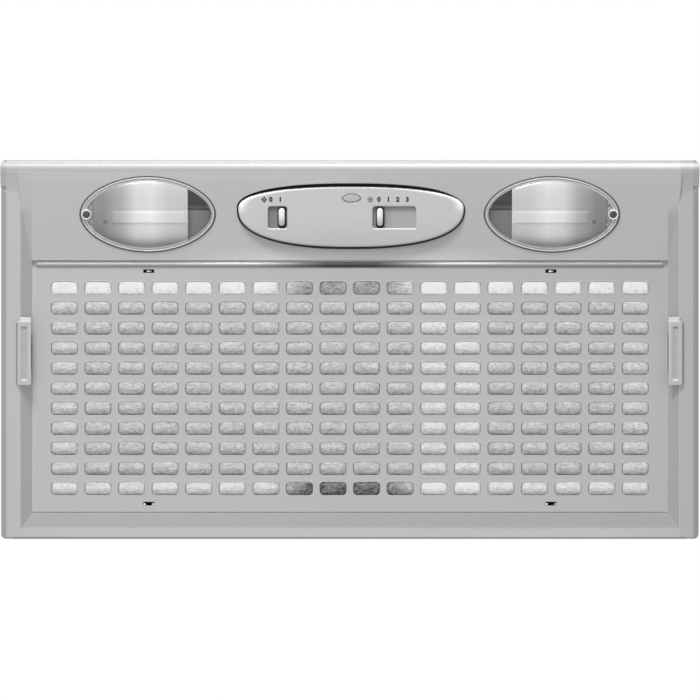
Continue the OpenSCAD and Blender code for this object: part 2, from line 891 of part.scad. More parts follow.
// The right-hand catch: cap and groove below, stem through the band, tongue inside
module catch() {
    cap_r = 1.5;
    base_t = 0.9;
    base_step = 2.8;
    base_side = 1.5;
    groove_t = 0.6;
    groove_r = (groove_w * groove_w / 4 + groove_t * groove_t) / (2 * groove_t);
    groove_y0 = catch_y - catch_len / 2 + 4;
    groove_y1 = catch_y + catch_len / 2 - 3.2;
    color([0.72, 0.72, 0.72]) {
        difference() {
            union() {
                translate([cap_x + catch_w / 2, catch_y, z_cap - catch_t])
                    linear_extrude(catch_t - base_t)
                        round_rect(catch_w, catch_len, cap_r);
                block([cap_x, catch_y - catch_len / 2 - base_step, z_cap - base_t],
                    [cap_x + catch_w - base_side, catch_y + catch_len / 2 - 1, z_cap]);
            }
            translate([cap_x + catch_w / 2, groove_y0, z_cap - catch_t + groove_t - groove_r])
                rotate([-90, 0, 0])
                    cylinder(r = groove_r, h = groove_y1 - groove_y0, $fn = 96);
        }
        block([stem_x, catch_y - stem_half, z_cap - 0.2],
            [stem_x + stem_t, catch_y + stem_half, z_tongue]);
        difference() {
            block([open_x, catch_y - stem_half, z_tongue],
                [stem_x + stem_t, catch_y + stem_half, z_tongue + tongue_t]);
            block([open_x + 1.5, catch_y - stem_half + 3.4, z_tongue - over],
                [stem_x + stem_t + over, catch_y + stem_half - 3.4, z_tongue + tongue_t + over]);
        }
    }
}

module right_catch() {
    catch();
}

module left_catch() {
    mirror([1, 0, 0])
        catch();
}

module catch_guide() {
    inner = open_x + touch_gap;
    outer = stand_x;
    color([0.6, 0.6, 0.6])
        difference() {
            union() {
                block([inner, catch_y - guide_half, z_guide], [outer, catch_y + guide_half, z_guide + guide_t]);
                for (s = [-1, 1])
                    translate([inner, catch_y + s * (guide_half - guide_leg / 2) - guide_leg / 2, z_ledge_top])
                        cube([outer - inner, guide_leg, z_guide - z_ledge_top]);
                for (s = [-1, 1])
                    translate([stem_x + stem_t - 0.6, catch_y + s * 7.6 - 1, z_tongue + 0.1])
                        cube([1.2, 2, z_guide - z_tongue]);
            }
            for (s = [-1, 1])
                translate([guide_screw_x(), catch_y + s * (guide_half - guide_leg / 2), z_ledge_top - over])
                    cylinder(r = screw_r, h = 12);
        }
}

module right_catch_guide() {
    catch_guide();
}

module left_catch_guide() {
    mirror([1, 0, 0])
        catch_guide();
}

// Bowed leaf that presses the catch inwards
module catch_spring() {
    x_in = open_x + 1.5;
    x_out = stem_x + stem_t - 0.6;
    half = 8.6;
    rise = x_out - x_in - spring_t;
    bow_r = (half * half + rise * rise) / (2 * rise);
    color([0.8, 0.8, 0.82])
        translate([0, 0, z_tongue + 0.2])
            linear_extrude(tongue_t - 0.4)
                intersection() {
                    translate([x_in + bow_r + spring_t, catch_y])
                        difference() {
                            circle(r = bow_r + spring_t, $fn = 128);
                            circle(r = bow_r, $fn = 128);
                        }
                    translate([x_in - over, catch_y - half])
                        square([x_out - x_in + over, 2 * half]);
                }
}

module right_catch_spring() {
    catch_spring();
}

module left_catch_spring() {
    mirror([1, 0, 0])
        catch_spring();
}

module window(range) {
    translate([(range[0] + range[1]) / 2, window_y, z_face - over])
        linear_extrude(plate_t + 2 * over)
            round_rect(range[1] - range[0], window_d, window_r);
}

module control_plate() {
    skirt = 1.8;
    color([0.78, 0.78, 0.78])
        difference() {
            union() {
                translate([0, plate_y, z_face])
                    linear_extrude(plate_t)
                        polygon(oval(plate_a, plate_front, plate_rear, plate_n));
                intersection() {
                    translate([0, plate_y, z_face])
                        linear_extrude(20)
                            difference() {
                                polygon(oval(plate_a, plate_front, plate_rear, plate_n));
                                polygon(oval(plate_a - skirt, plate_front - skirt,
                                    plate_rear - skirt, plate_n));
                            }
                    along_x(flange_w)
                        polygon([
                            [ramp_y0, z_rim], [ramp_y0, ramp_top(ramp_y0)],
                            [ramp_y1, ramp_top(ramp_y1)], [ramp_y1, z_rim]
                        ]);
                }
                for (x = [-1, 1])
                    for (y = [-1, 1])
                        translate([x * (carrier_x - 4), window_y + y * post_y, z_face_top - 0.2])
                            cylinder(r = post_r, h = z_switch + switch_h - z_face_top + 0.2);
            }
            window(light_window);
            window(speed_window);
            translate([0, indicator_y, z_face - over])
                linear_extrude(plate_t + 2 * over)
                    eye(indicator_a, indicator_b);
        }
}

module indicator_lens() {
    color([0.86, 0.86, 0.85])
        translate([0, indicator_y, 0]) {
            translate([0, 0, z_face - 0.4])
                linear_extrude(plate_t + 0.4)
                    eye(indicator_a - 0.15, indicator_b - 0.1);
            translate([0, 0, z_face_top])
                linear_extrude(1)
                    eye(indicator_a + 2, indicator_b + 1);
        }
}

// Pointed oval between two arcs
module eye(a, b) {
    r = (a * a + b * b) / (2 * b);
    intersection() {
        translate([0, r - b])
            circle(r = r, $fn = 96);
        translate([0, b - r])
            circle(r = r, $fn = 96);
    }
}

// Knob on a shutter that keeps the window closed at every position
module knob(x, shutter) {
    crown_r = knob_w * 0.8;
    color([0.8, 0.8, 0.8]) {
        intersection() {
            translate([x, window_y, z_face - knob_proud])
                linear_extrude(z_foot + 0.2 - z_face + knob_proud)
                    round_rect(knob_w, knob_d, knob_w / 2 - 0.2);
            union() {
                translate([x, window_y, z_face - knob_proud + crown_r])
                    rotate([90, 0, 0])
                        cylinder(r = crown_r, h = knob_d, center = true, $fn = 96);
                block([x - knob_w, window_y - knob_d, z_face - knob_proud + crown_r],
                    [x + knob_w, window_y + knob_d, z_foot + over]);
            }
        }
        block([shutter[0], window_y - window_d / 2 - 1, z_foot],
            [shutter[1], window_y + window_d / 2 + 1, z_foot + knob_foot_t]);
        block([x - stem_w / 2, window_y - stem_d / 2, z_foot + knob_foot_t - 0.2],
            [x + stem_w / 2, window_y + stem_d / 2, z_switch + stem_in]);
    }
}

module light_knob() {
    knob(light_x, [light_window[0] - shutter_lap, light_window[1] + knob_step + shutter_lap]);
}

module speed_knob() {
    knob(speed_x, [speed_window[0] - speed_steps * knob_step - shutter_lap, speed_window[1] + shutter_lap]);
}

// Slide switch: a block with a slot in its underside for the knob's stem
module slide_switch(x0, x1) {
    margin = 5;
    color([0.2, 0.2, 0.2])
        difference() {
            block([x0 - stem_w / 2 - margin, window_y - switch_d / 2, z_switch],
                [x1 + stem_w / 2 + margin, window_y + switch_d / 2, z_switch + switch_h]);
            block([x0 - stem_w / 2 - slide_gap, window_y - stem_d / 2 - slide_gap, z_switch - over],
                [x1 + stem_w / 2 + slide_gap, window_y + stem_d / 2 + slide_gap, z_switch + stem_in + 0.4]);
        }
}

module light_switch() {
    slide_switch(light_x - knob_step, light_x);
}

module speed_switch() {
    slide_switch(speed_x, speed_x + speed_steps * knob_step);
}

module switch_carrier() {
    color([0.3, 0.3, 0.3])
        difference() {
            translate([0, window_y, z_switch + switch_h])
                linear_extrude(carrier_t)
                    round_rect(2 * carrier_x, 2 * (post_y + post_r), 4);
            for (x = [-1, 1])
                for (y = [-1, 1])
                    translate([x * (carrier_x - 4), window_y + y * post_y, z_switch + switch_h - over])
                        cylinder(r = 1, h = carrier_t + 2 * over);
        }
}

// The left-hand lens: a flat rim in the slope's seat, and a bulging middle
module lens() {
    bulge = -lens_bulge;
    lip = lens_seat - 1.9;
    color([0.9, 0.9, 0.9, 0.6])
        on_ramp(-lens_x, lens_y)
            difference() {
                union() {
                    oval_loft(lens_a, lens_b, lens_n, [
                        [0, bulge], [0.35, bulge * 0.94], [0.6, bulge * 0.8], [0.78, bulge * 0.58],
                        [0.9, bulge * 0.32], [0.93, lip], [0.985, lip], [1, lip + 0.4], [1, lens_seat],
                        [0.92, lens_seat], [0.88, bulge * 0.2 + lens_wall * 0.7],
                        [0.76, bulge * 0.52 + lens_wall * 0.9], [0.58, bulge * 0.75 + lens_wall],
                        [0.34, bulge * 0.9 + lens_wall], [0, bulge + lens_wall + 0.2]
                    ]);
                    translate([-lens_screw_x, 0, lip - 0.5])
                        cylinder(r = 3.75, h = lens_seat - lip + 0.5);
                }
                translate([-lens_screw_x, 0, -8])
                    cylinder(r = screw_r + 0.15, h = 12);
                block([-lens_a - over, -lens_b, bulge - over], [lens_chord_x, lens_b, lip - 0.5]);
            }
}

module left_lens() {
    lens();
}

module right_lens() {
    mirror([1, 0, 0])
        lens();
}

module lens_screws() {
    color([0.5, 0.5, 0.5])
        both_sides()
            on_ramp(-lens_x, lens_y)
                translate([-lens_screw_x, 0, lens_seat - 2.4])
                    screw(9, screw_head_r, 0.9);
}

// The left-hand lamp housing: a box that is open over the lens
module lamp_housing() {
    z_low = ramp_top(housing_y0);
    color([0.5, 0.5, 0.5])
        difference() {
            block([-lens_x - housing_out, housing_y0, z_low], [-lens_x + housing_x, housing_y1, housing_h]);
            block([-lens_x - housing_out + housing_t, housing_y0 + housing_t, z_low - over],
                [-lens_x + housing_x - housing_t, housing_y1 - housing_t, housing_h - housing_t]);
            along_x(flange_w)
                polygon([
                    [housing_y0 - over, ramp_top(housing_y0 - over)], [housing_y1 + over, ramp_top(housing_y1 + over)],
                    [housing_y1 + over, z_rim - 5], [housing_y0 - over, z_rim - 5]
                ]);
        }
}

module left_lamp_housing() {
    lamp_housing();
}

module right_lamp_housing() {
    mirror([1, 0, 0])
        lamp_housing();
}

module lampholder() {
    end_x = -lens_x + housing_x - housing_t;
    color([0.92, 0.92, 0.9])
        translate([end_x, lamp_y, lamp_z])
            rotate([0, -90, 0])
                difference() {
                    union() {
                        cylinder(r = holder_d / 2, h = holder_l);
                        cylinder(r = holder_d / 2 + 3, h = 3);
                    }
                    translate([0, 0, 4])
                        cylinder(r = 7.1, h = holder_l);
                }
}

module left_lampholder() {
    lampholder();
}

module right_lampholder() {
    mirror([1, 0, 0])
        lampholder();
}

// Candle bulb with its screw cap in the holder and its tip outwards
module bulb() {
    end_x = -lens_x + housing_x - housing_t;
    glass_l = housing_x + housing_out - 2 * housing_t - holder_l - 6;
    glass = [
        for (i = [0:20])
            let (t = i / 20)
            [bulb_d / 2 * pow(sin(180 * pow(t, 0.78) * 0.985 + 2.7), 0.75), glass_l * t]
    ];
    color([0.97, 0.97, 0.95])
        translate([end_x, lamp_y, lamp_z])
            rotate([0, -90, 0]) {
                translate([0, 0, 6])
                    cylinder(r = 6.9, h = holder_l - 4);
                translate([0, 0, holder_l + 1.5])
                    rotate_extrude($fn = 48)
                        polygon(concat([[0, 0]], glass, [[0, glass_l]]));
            }
}

module left_bulb() {
    bulb();
}

module right_bulb() {
    mirror([1, 0, 0])
        bulb();
}

// Outline of the scroll's duct: a spiral from the tongue round to the upright outlet
function scroll_outline(t) = concat(
    [[throat_y0 - t, z_roof], [throat_y1 + t, z_roof]],
    [
        for (i = [36:-1:0])
            let (a = throat_a + (360 - throat_a) * i / 36, r = scroll_r0 + t + (scroll_r1 - scroll_r0) * i / 36)
            [axis_y + r * cos(a), axis_z + r * sin(a)]
    ]
);

// The scroll's bent strip, with the flange under the casing's top
module scroll_wrapper() {
    color([0.55, 0.56, 0.57])
        difference() {
            union() {
                rotate([90, 0, 90])
                    translate([0, 0, -scroll_x])
                        linear_extrude(2 * scroll_x)
                            polygon(scroll_outline(scroll_t));
                block([-collar_half, collar_y - collar_half, z_roof - scroll_t],
                    [collar_half, collar_y + collar_half, z_roof]);
            }
            rotate([90, 0, 90])
                translate([0, 0, -scroll_x])
                    linear_extrude(2 * scroll_x)
                        polygon(concat(
                            [[throat_y0, z_roof + over], [throat_y1, z_roof + over]],
                            scroll_outline(0)
                        ));
            both_sides()
                block([scroll_x, throat_y0 - scroll_t, z_roof - scroll_t - over],
                    [scroll_x + scroll_t, throat_y1 + scroll_t, z_roof + over]);
            both_sides()
                for (s = [-1, 1])
                    translate([bolt_half, collar_y + s * bolt_half, z_roof - 2 * scroll_t])
                        cylinder(r = screw_r, h = 3 * scroll_t);
        }
}

// The right-hand side plate of the scroll, with its inlet bell
module side_plate() {
    color([0.6, 0.61, 0.62])
        difference() {
            union() {
                rotate([90, 0, 90])
                    translate([0, 0, scroll_x])
                        linear_extrude(scroll_t)
                            polygon(scroll_outline(scroll_t));
                translate([scroll_x + scroll_t - 0.2, axis_y, axis_z])
                    rotate([0, 90, 0])
                        cylinder(r = inlet_r + bell, h = bell + 0.2, $fn = 96);
            }
            translate([0, axis_y, axis_z])
                rotate([0, 90, 0]) {
                    cylinder(r = inlet_r, h = 2 * scroll_x, $fn = 96);
                    translate([0, 0, scroll_x + scroll_t])
                        rotate_extrude($fn = 96)
                            difference() {
                                square([inlet_r + bell - 1, bell + over]);
                                translate([inlet_r + bell - 1, 0])
                                    circle(r = bell - 1);
                            }
                    for (k = bush_angles())
                        rotate([0, 0, k])
                            translate([bush_at, 0, scroll_x - over])
                                cylinder(r = screw_r, h = 10);
                }
        }
}

module right_side_plate() {
    side_plate();
}

module left_side_plate() {
    mirror([1, 0, 0])
        side_plate();
}

function bush_angles() = [0, 120, 240];

// One blade's outline: two concentric arcs between the rings' radii
function blade_arc(r) = [
    for (i = [0:5])
        let (t = i / 5, rho = wheel_in + (wheel_r - wheel_in) * t, bend = 9 * t - 14 * t * t)
        [rho * cos(bend) + r * sin(40), rho * sin(bend) + r]
];

// Where the impeller turns, with its axis along +Z
module on_axis() {
    color([0.25, 0.26, 0.28])
        translate([0, axis_y, axis_z])
            rotate([0, 90, 0])
                children();
}

// Centre disc with its hub; the blades stand on both its faces
module impeller() {
    on_axis()
        difference() {
            union() {
                translate([0, 0, -wheel_ring_t / 2])
                    cylinder(r = wheel_r + 1, h = wheel_ring_t, $fn = 96);
                translate([0, 0, -hub_l + 3])
                    cylinder(r = shaft_d / 2 + 5, h = hub_l);
            }
            cylinder(r = shaft_d / 2, h = wheel_w, center = true);
        }
}

// One side's blades, from the disc out to the end ring
module blade_row() {
    outline = concat(blade_arc(blade_t / 2), [for (i = [5:-1:0]) blade_arc(-blade_t / 2)[i]]);
    on_axis()
        translate([0, 0, wheel_ring_t / 2])
            linear_extrude(wheel_w / 2 - 1.5 * wheel_ring_t)
                for (i = [0:blades - 1])
                    rotate(360 * i / blades)
                        polygon(outline);
}

module right_blades() {
    blade_row();
}

module left_blades() {
    mirror([1, 0, 0])
        blade_row();
}

// Ring that ties one side's blades at the inlet
module end_ring() {
    on_axis()
        translate([0, 0, wheel_w / 2 - wheel_ring_t])
            difference() {
                cylinder(r = wheel_r + 1, h = wheel_ring_t, $fn = 96);
                translate([0, 0, -over])
                    cylinder(r = wheel_in - 0.5, h = wheel_ring_t + 2 * over, $fn = 96);
            }
}

module right_end_ring() {
    end_ring();
}

module left_end_ring() {
    mirror([1, 0, 0])
        end_ring();
}

module motor_shaft() {
    color([0.75, 0.75, 0.77])
        translate([-hub_l + 1, axis_y, axis_z])
            rotate([0, 90, 0])
                cylinder(r = shaft_d / 2, h = hub_l + motor_x + motor_l + 4);
}

module motor() {
    boss_r = shaft_d / 2 + 6;
    color([0.55, 0.56, 0.58])
        translate([motor_x, axis_y, axis_z])
            rotate([0, 90, 0])
                difference() {
                    union() {
                        translate([0, 0, 3])
                            cylinder(r = motor_d / 2, h = motor_l - 6);
                        cylinder(r = boss_r, h = motor_l);
                        translate([0, 0, bracket_x - motor_x + bracket_t])
                            cylinder(r = motor_d / 2 + 1.5, h = 4);
                    }
                    translate([0, 0, -over])
                        cylinder(r = shaft_d / 2 + pin_gap, h = motor_l + 2 * over);
                }
}

// Ring round the motor with three arms to the rubber bushes on the scroll
module motor_bracket() {
    ring_w = 6;
    arm_w = 12;
    foot = scroll_x + scroll_t + bush_l;
    color([0.7, 0.7, 0.72])
        translate([0, axis_y, axis_z])
            rotate([0, 90, 0])
                difference() {
                    union() {
                        translate([0, 0, bracket_x])
                            cylinder(r = motor_d / 2 + ring_w, h = bracket_t);
                        for (k = bush_angles())
                            rotate([0, 0, k]) {
                                translate([motor_d / 2 + ring_w - 2, -arm_w / 2, bracket_x])
                                    cube([bush_at - motor_d / 2 - ring_w + 2 + bush_r, arm_w, bracket_t]);
                                translate([bush_at + bush_r - bracket_t, -arm_w / 2, foot])
                                    cube([bracket_t, arm_w, bracket_x - foot + bracket_t]);
                                translate([bush_at - bush_r, -arm_w / 2, foot])
                                    cube([2 * bush_r, arm_w, bracket_t]);
                            }
                    }
                    translate([0, 0, bracket_x - over])
                        cylinder(r = motor_d / 2, h = bracket_t + 2 * over);
                    for (k = bush_angles())
                        rotate([0, 0, k])
                            translate([bush_at, 0, foot - over])
                                cylinder(r = screw_r + 0.2, h = bracket_t + bracket_x - foot + 2 * over);
                }
}

module motor_mounts() {
    color([0.1, 0.1, 0.1])
        translate([scroll_x + scroll_t, axis_y, axis_z])
            rotate([0, 90, 0])
                for (k = bush_angles())
                    rotate([0, 0, k])
                        translate([bush_at, 0, 0])
                            difference() {
                                cylinder(r = bush_r, h = bush_l);
                                translate([0, 0, -over])
                                    cylinder(r = screw_r, h = bush_l + 2 * over);
                            }
}

module bracket_screws() {
    color([0.7, 0.7, 0.7])
        translate([scroll_x + scroll_t + bush_l + bracket_t, axis_y, axis_z])
            rotate([0, 90, 0])
                for (k = bush_angles())
                    rotate([0, 0, k])
                        translate([bush_at, 0, 0])
                            mirror([0, 0, 1])
                                screw(bush_l + bracket_t + scroll_t + 1, 2.6, 0.8);
}

module duct_collar() {
    inner = collar_r - collar_t;
    color([0.3, 0.3, 0.31])
        translate([0, collar_y, 0])
            difference() {
                union() {
                    translate([0, 0, casing_h])
                        linear_extrude(collar_base)
                            round_rect(2 * collar_half, 2 * collar_half, 6);
                    translate([0, 0, casing_h])
                        cylinder(r = collar_r, h = collar_h, $fn = 128);
                }
                translate([0, 0, casing_h - over])
                    cylinder(r = inner - stop_w, h = collar_h + 2 * over, $fn = 128);
                translate([0, 0, casing_h - over])
                    cylinder(r = inner, h = stop_z - casing_h + over, $fn = 128);
                difference() {
                    translate([0, 0, stop_z + stop_t])
                        cylinder(r = inner, h = collar_h, $fn = 128);
                    both_sides()
                        translate([inner + over, 0, pin_z])
                            rotate([0, -90, 0])
                                cylinder(r = pin_d / 2 + 1.6, h = pin_boss + over);
                }
                translate([0, 0, pin_z])
                    rotate([0, 90, 0])
                        cylinder(r = pin_d / 2, h = 2 * inner + 0.6, center = true);
                for (x = [-1, 1])
                    for (y = [-1, 1])
                        translate([x * bolt_half, y * bolt_half, casing_h - over])
                            cylinder(r = screw_r + 0.2, h = collar_base + 2 * over);
            }
}

module flap_pin() {
    color([0.75, 0.75, 0.77])
        translate([0, collar_y, pin_z])
            rotate([0, 90, 0])
                cylinder(r = pin_d / 2, h = 2 * (collar_r - collar_t) + 0.4, center = true);
}

// Half disc on the +Y side of the pin, with its own knuckles and room for the other's
module flap(own, others) {
    notch = knuckle_r + 0.6;
    difference() {
        union() {
            intersection() {
                translate([0, 0, z_flap])
                    cylinder(r = flap_r, h = flap_t, $fn = 128);
                block([-flap_r, 0.4, z_flap - over], [flap_r, flap_r + over, z_flap + 5]);
            }
            for (x = own) {
                translate([x, 0, pin_z])
                    rotate([0, 90, 0])
                        cylinder(r = knuckle_r, h = knuckle_l);
                block([x, 0, z_flap], [x + knuckle_l, knuckle_r + 1, z_flap + flap_t]);
            }
        }
        for (x = others)
            block([x - 0.5, -notch, z_flap - over], [x + knuckle_l + 0.5, notch, z_flap + 6]);
        both_sides()
            block([flap_r - pin_boss - 0.5, -over, z_flap - over], [flap_r + over, 4, z_flap + 6]);
        translate([0, 0, pin_z])
            rotate([0, 90, 0])
                cylinder(r = pin_d / 2 + pin_gap, h = 3 * flap_r, center = true);
    }
}

module rear_flap() {
    color([0.6, 0.6, 0.62])
        translate([0, collar_y, 0])
            flap(knuckles_rear, knuckles_front);
}

module front_flap() {
    color([0.6, 0.6, 0.62])
        translate([0, collar_y, 0])
            rotate([0, 0, 180])
                flap([for (x = knuckles_front) -x - knuckle_l], [for (x = knuckles_rear) -x - knuckle_l]);
}

// Sprung strip on each side of the casing that snaps over the cabinet's bottom
module cabinet_clips() {
    strip_t = 0.7;
    strip_w = 22;
    z0 = 20;
    outline = [
        [case_x, z0 + 40], [case_x + strip_t, z0 + 40], [case_x + strip_t, z0 + 26],
        [case_x + 6.5, z0 + 5], [case_x + 2, z0 - 4], [case_x + 1.2, z0 - 3.6],
        [case_x + 5.6, z0 + 5], [case_x, z0 + 24]
    ];
    color([0.8, 0.8, 0.82])
        both_sides()
            for (y = clip_ys)
                along_y(y - strip_w / 2, y + strip_w / 2)
                    polygon(outline);
}

module casing_screws() {
    color([0.7, 0.7, 0.7])
        both_sides() {
            for (y = side_screw_ys)
                translate([case_x, y, screw_z])
                    rotate([0, -90, 0])
                        screw(4.4);
            translate([front_screw_x, -case_y, screw_z])
                rotate([-90, 0, 0])
                    screw(4.4);
        }
}

module collar_screws() {
    color([0.7, 0.7, 0.7])
        translate([0, collar_y, casing_h + collar_base])
            for (x = [-1, 1])
                for (y = [-1, 1])
                    translate([x * bolt_half, y * bolt_half, 0])
                        rotate([180, 0, 0])
                            screw(5);
}

module guide_screws() {
    color([0.7, 0.7, 0.7])
        both_sides()
            for (s = [-1, 1])
                translate([guide_screw_x(), catch_y + s * (guide_half - guide_leg / 2), z_guide + guide_t]) {
                    cylinder(r = 2.2, h = 1.2);
                    translate([0, 0, z_ledge - z_guide - guide_t + 0.3])
                        cylinder(r = screw_r - 0.45, h = z_guide + guide_t - z_ledge);
                }
}

module capacitor() {
    color([0.9, 0.9, 0.88])
        translate([capacitor_x, part_y - part_t, casing_h - wiring_drop])
            rotate([90, 0, 0])
                cylinder(r = capacitor_d / 2, h = capacitor_l);
}

module terminal_block() {
    poles = 5;
    pitch = 9;
    block_d = 16;
    block_h = 20;
    hole_r = 2.6;
    color([0.92, 0.92, 0.9])
        translate([gland_x - poles * pitch / 2, part_y - part_t - block_d, casing_h - wiring_drop - 4])
            difference() {
                cube([poles * pitch, block_d, block_h]);
                for (i = [0:poles - 1])
                    translate([(i + 0.5) * pitch, -over, block_h / 2])
                        rotate([-90, 0, 0])
                            cylinder(r = hole_r, h = block_d / 2);
            }
}

module cable_gland() {
    color([0.15, 0.15, 0.15])
        translate([gland_x, gland_y, 0])
            difference() {
                union() {
                    translate([0, 0, z_roof - gland_nut_t])
                        cylinder(r = gland_nut_r, h = gland_nut_t, $fn = 6);
                    translate([0, 0, z_roof - over])
                        cylinder(r = gland_thread_r - 0.1, h = casing_t + 2 * over);
                    translate([0, 0, casing_h])
                        cylinder(r = gland_nut_r, h = gland_nut_t, $fn = 6);
                    translate([0, 0, casing_h + gland_nut_t - over])
                        cylinder(r = gland_thread_r + 0.5, h = gland_cap_h);
                }
                translate([0, 0, z_roof - gland_nut_t - over])
                    cylinder(r = gland_bore, h = casing_t + 2 * gland_nut_t + gland_cap_h + 2 * over);
            }
}

underside_frame();
casing();
casing_top();
partition();
filter_grille();
filter_mat();
left_mat_wire();
right_mat_wire();
hinge_pins();
left_catch();
right_catch();
left_catch_guide();
right_catch_guide();
left_catch_spring();
right_catch_spring();
control_plate();
indicator_lens();
light_knob();
speed_knob();
light_switch();
speed_switch();
switch_carrier();
left_lens();
right_lens();
lens_screws();
left_lamp_housing();
right_lamp_housing();
left_lampholder();
right_lampholder();
left_bulb();
right_bulb();
scroll_wrapper();
left_side_plate();
right_side_plate();
impeller();
left_blades();
right_blades();
left_end_ring();
right_end_ring();
motor();
motor_shaft();
motor_bracket();
motor_mounts();
duct_collar();
flap_pin();
front_flap();
rear_flap();
cabinet_clips();
casing_screws();
collar_screws();
bracket_screws();
guide_screws();
capacitor();
terminal_block();
cable_gland();
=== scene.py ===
import random
from math import asin, atan, copysign, cos, hypot, pi, radians, sin

import bmesh
import bpy
from mathutils import Matrix, Vector, noise
from mathutils.geometry import delaunay_2d_cdt


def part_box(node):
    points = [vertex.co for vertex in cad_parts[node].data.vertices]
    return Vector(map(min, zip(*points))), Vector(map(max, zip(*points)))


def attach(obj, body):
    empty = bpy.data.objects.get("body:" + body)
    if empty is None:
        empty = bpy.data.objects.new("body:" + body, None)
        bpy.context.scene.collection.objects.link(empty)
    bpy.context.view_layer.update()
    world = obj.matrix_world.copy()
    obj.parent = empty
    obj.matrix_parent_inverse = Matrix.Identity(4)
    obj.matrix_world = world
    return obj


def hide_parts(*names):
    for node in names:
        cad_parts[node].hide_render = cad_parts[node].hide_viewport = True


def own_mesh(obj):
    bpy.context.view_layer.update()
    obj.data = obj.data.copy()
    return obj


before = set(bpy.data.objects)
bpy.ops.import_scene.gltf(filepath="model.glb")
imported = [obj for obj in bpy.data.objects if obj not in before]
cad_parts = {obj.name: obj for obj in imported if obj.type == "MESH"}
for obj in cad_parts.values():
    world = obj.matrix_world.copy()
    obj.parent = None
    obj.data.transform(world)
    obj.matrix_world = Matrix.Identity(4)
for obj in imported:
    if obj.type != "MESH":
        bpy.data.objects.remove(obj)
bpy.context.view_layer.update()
MM = 0.001

# Grille's slots, as the moulding has them
SLOT_COLUMNS, SLOT_ROWS = 18, 11
SLOT_PITCH = (25.3 * MM, 15.1 * MM)
SLOT_SIZE = (20.1 * MM, 10.0 * MM)
FIRST_ROW_Y = -46.3 * MM
PLATE_TOP = 0.3 * MM

# Sloped control section, and the lamp covers' share of their openings and their screws' place
RAMP_FRONT_Y = -133.4 * MM
RAMP_FRONT_Z = -12.5 * MM
RAMP_SLOPE = 11.0 / 65.4
RAMP_TILT = atan(RAMP_SLOPE)
LENS_CENTRE = (152 * MM, -101.6 * MM)
LENS_HALF = (51 * MM, 28.6 * MM)
LENS_SHAPE = 1.9
FACE_Z = -9.2 * MM
COVER_SHARE = 0.988
HUB_U = -46.0

# Control plate in mm: its middle, reach to the side, front and rear, and what is in it
PLATE_MIDDLE = (0.9, -106.0)
PLATE_REACH = (84.8, 16.4, 29.2)
PLATE_SHAPE = 2.4
SIDE_GAP, FRONT_GAP = 1.1, 2.4
WINDOW_Y, WINDOW_HALF = -99.35, 8.15
LIGHT_WINDOW, SPEED_WINDOW = (-61.4, -47.3), (17.3, 49.7)
LIGHT_KNOB_X, SPEED_KNOB_X = -51.2, 22.6
KNOB_STEP = 7.1
EYE_X, EYE_Y, EYE_HALF = 1.3, -113.6, (7.45, 3.4)
MARKS_Y = -112.6

# The frame's own opening for the plate in mm: its middle, reach and shape
OPENING_MIDDLE = (0.0, -105.6)
OPENING_REACH = (86.7, 21.1, 30.6)
OPENING_SHAPE = 2.1

# Catches in mm: the cap's inner edge, width, length and middle
CATCH_X, CATCH_W, CATCH_LEN, CATCH_Y = 239.45, 10.5, 48.6, 2.8

# A catch's leaf: its stop, and how far it is pressed
LEAF_STOP, LEAF_PRESS = 0.2424, 3.02 * MM

SIDES = ((-1, "left"), (1, "right"))

# Strength of the surroundings, where the lamps aim, and their names, places, sizes and watts
AMBIENT = 0.54
LAMPS_AIM = Vector((0, 0, 0.02))
LAMPS = [
    ("front_key", (-0.5, -2.3, -1.35), 0.9, 44),
    ("fill_below", (-0.6, 0.3, -2.9), 2.2, 10),
    ("front_horizon", (-0.3, -2.6, 0.45), 1.0, 75),
    ("rear_top", (-1.4, 2.0, 1.9), 1.6, 40),
    ("front_top", (1.6, -1.2, 2.2), 1.6, 30),
]


def summed(operation):
    """A method that writes two values' sum into their material."""
    return lambda first, second: first.finish.sum(operation, first, second)


class Tone:
    """One value of a material, written into sums as a number would be."""

    __add__ = __radd__ = summed("ADD")
    __sub__ = summed("SUBTRACT")
    __mul__ = __rmul__ = summed("MULTIPLY")
    __truediv__ = summed("DIVIDE")
    __pow__ = summed("POWER")

    def __init__(self, finish, socket):
        self.finish = finish
        self.socket = socket

    def __rsub__(self, other):
        return self.finish.sum("SUBTRACT", other, self)

    def __abs__(self):
        return self.finish.sum("ABSOLUTE", self)


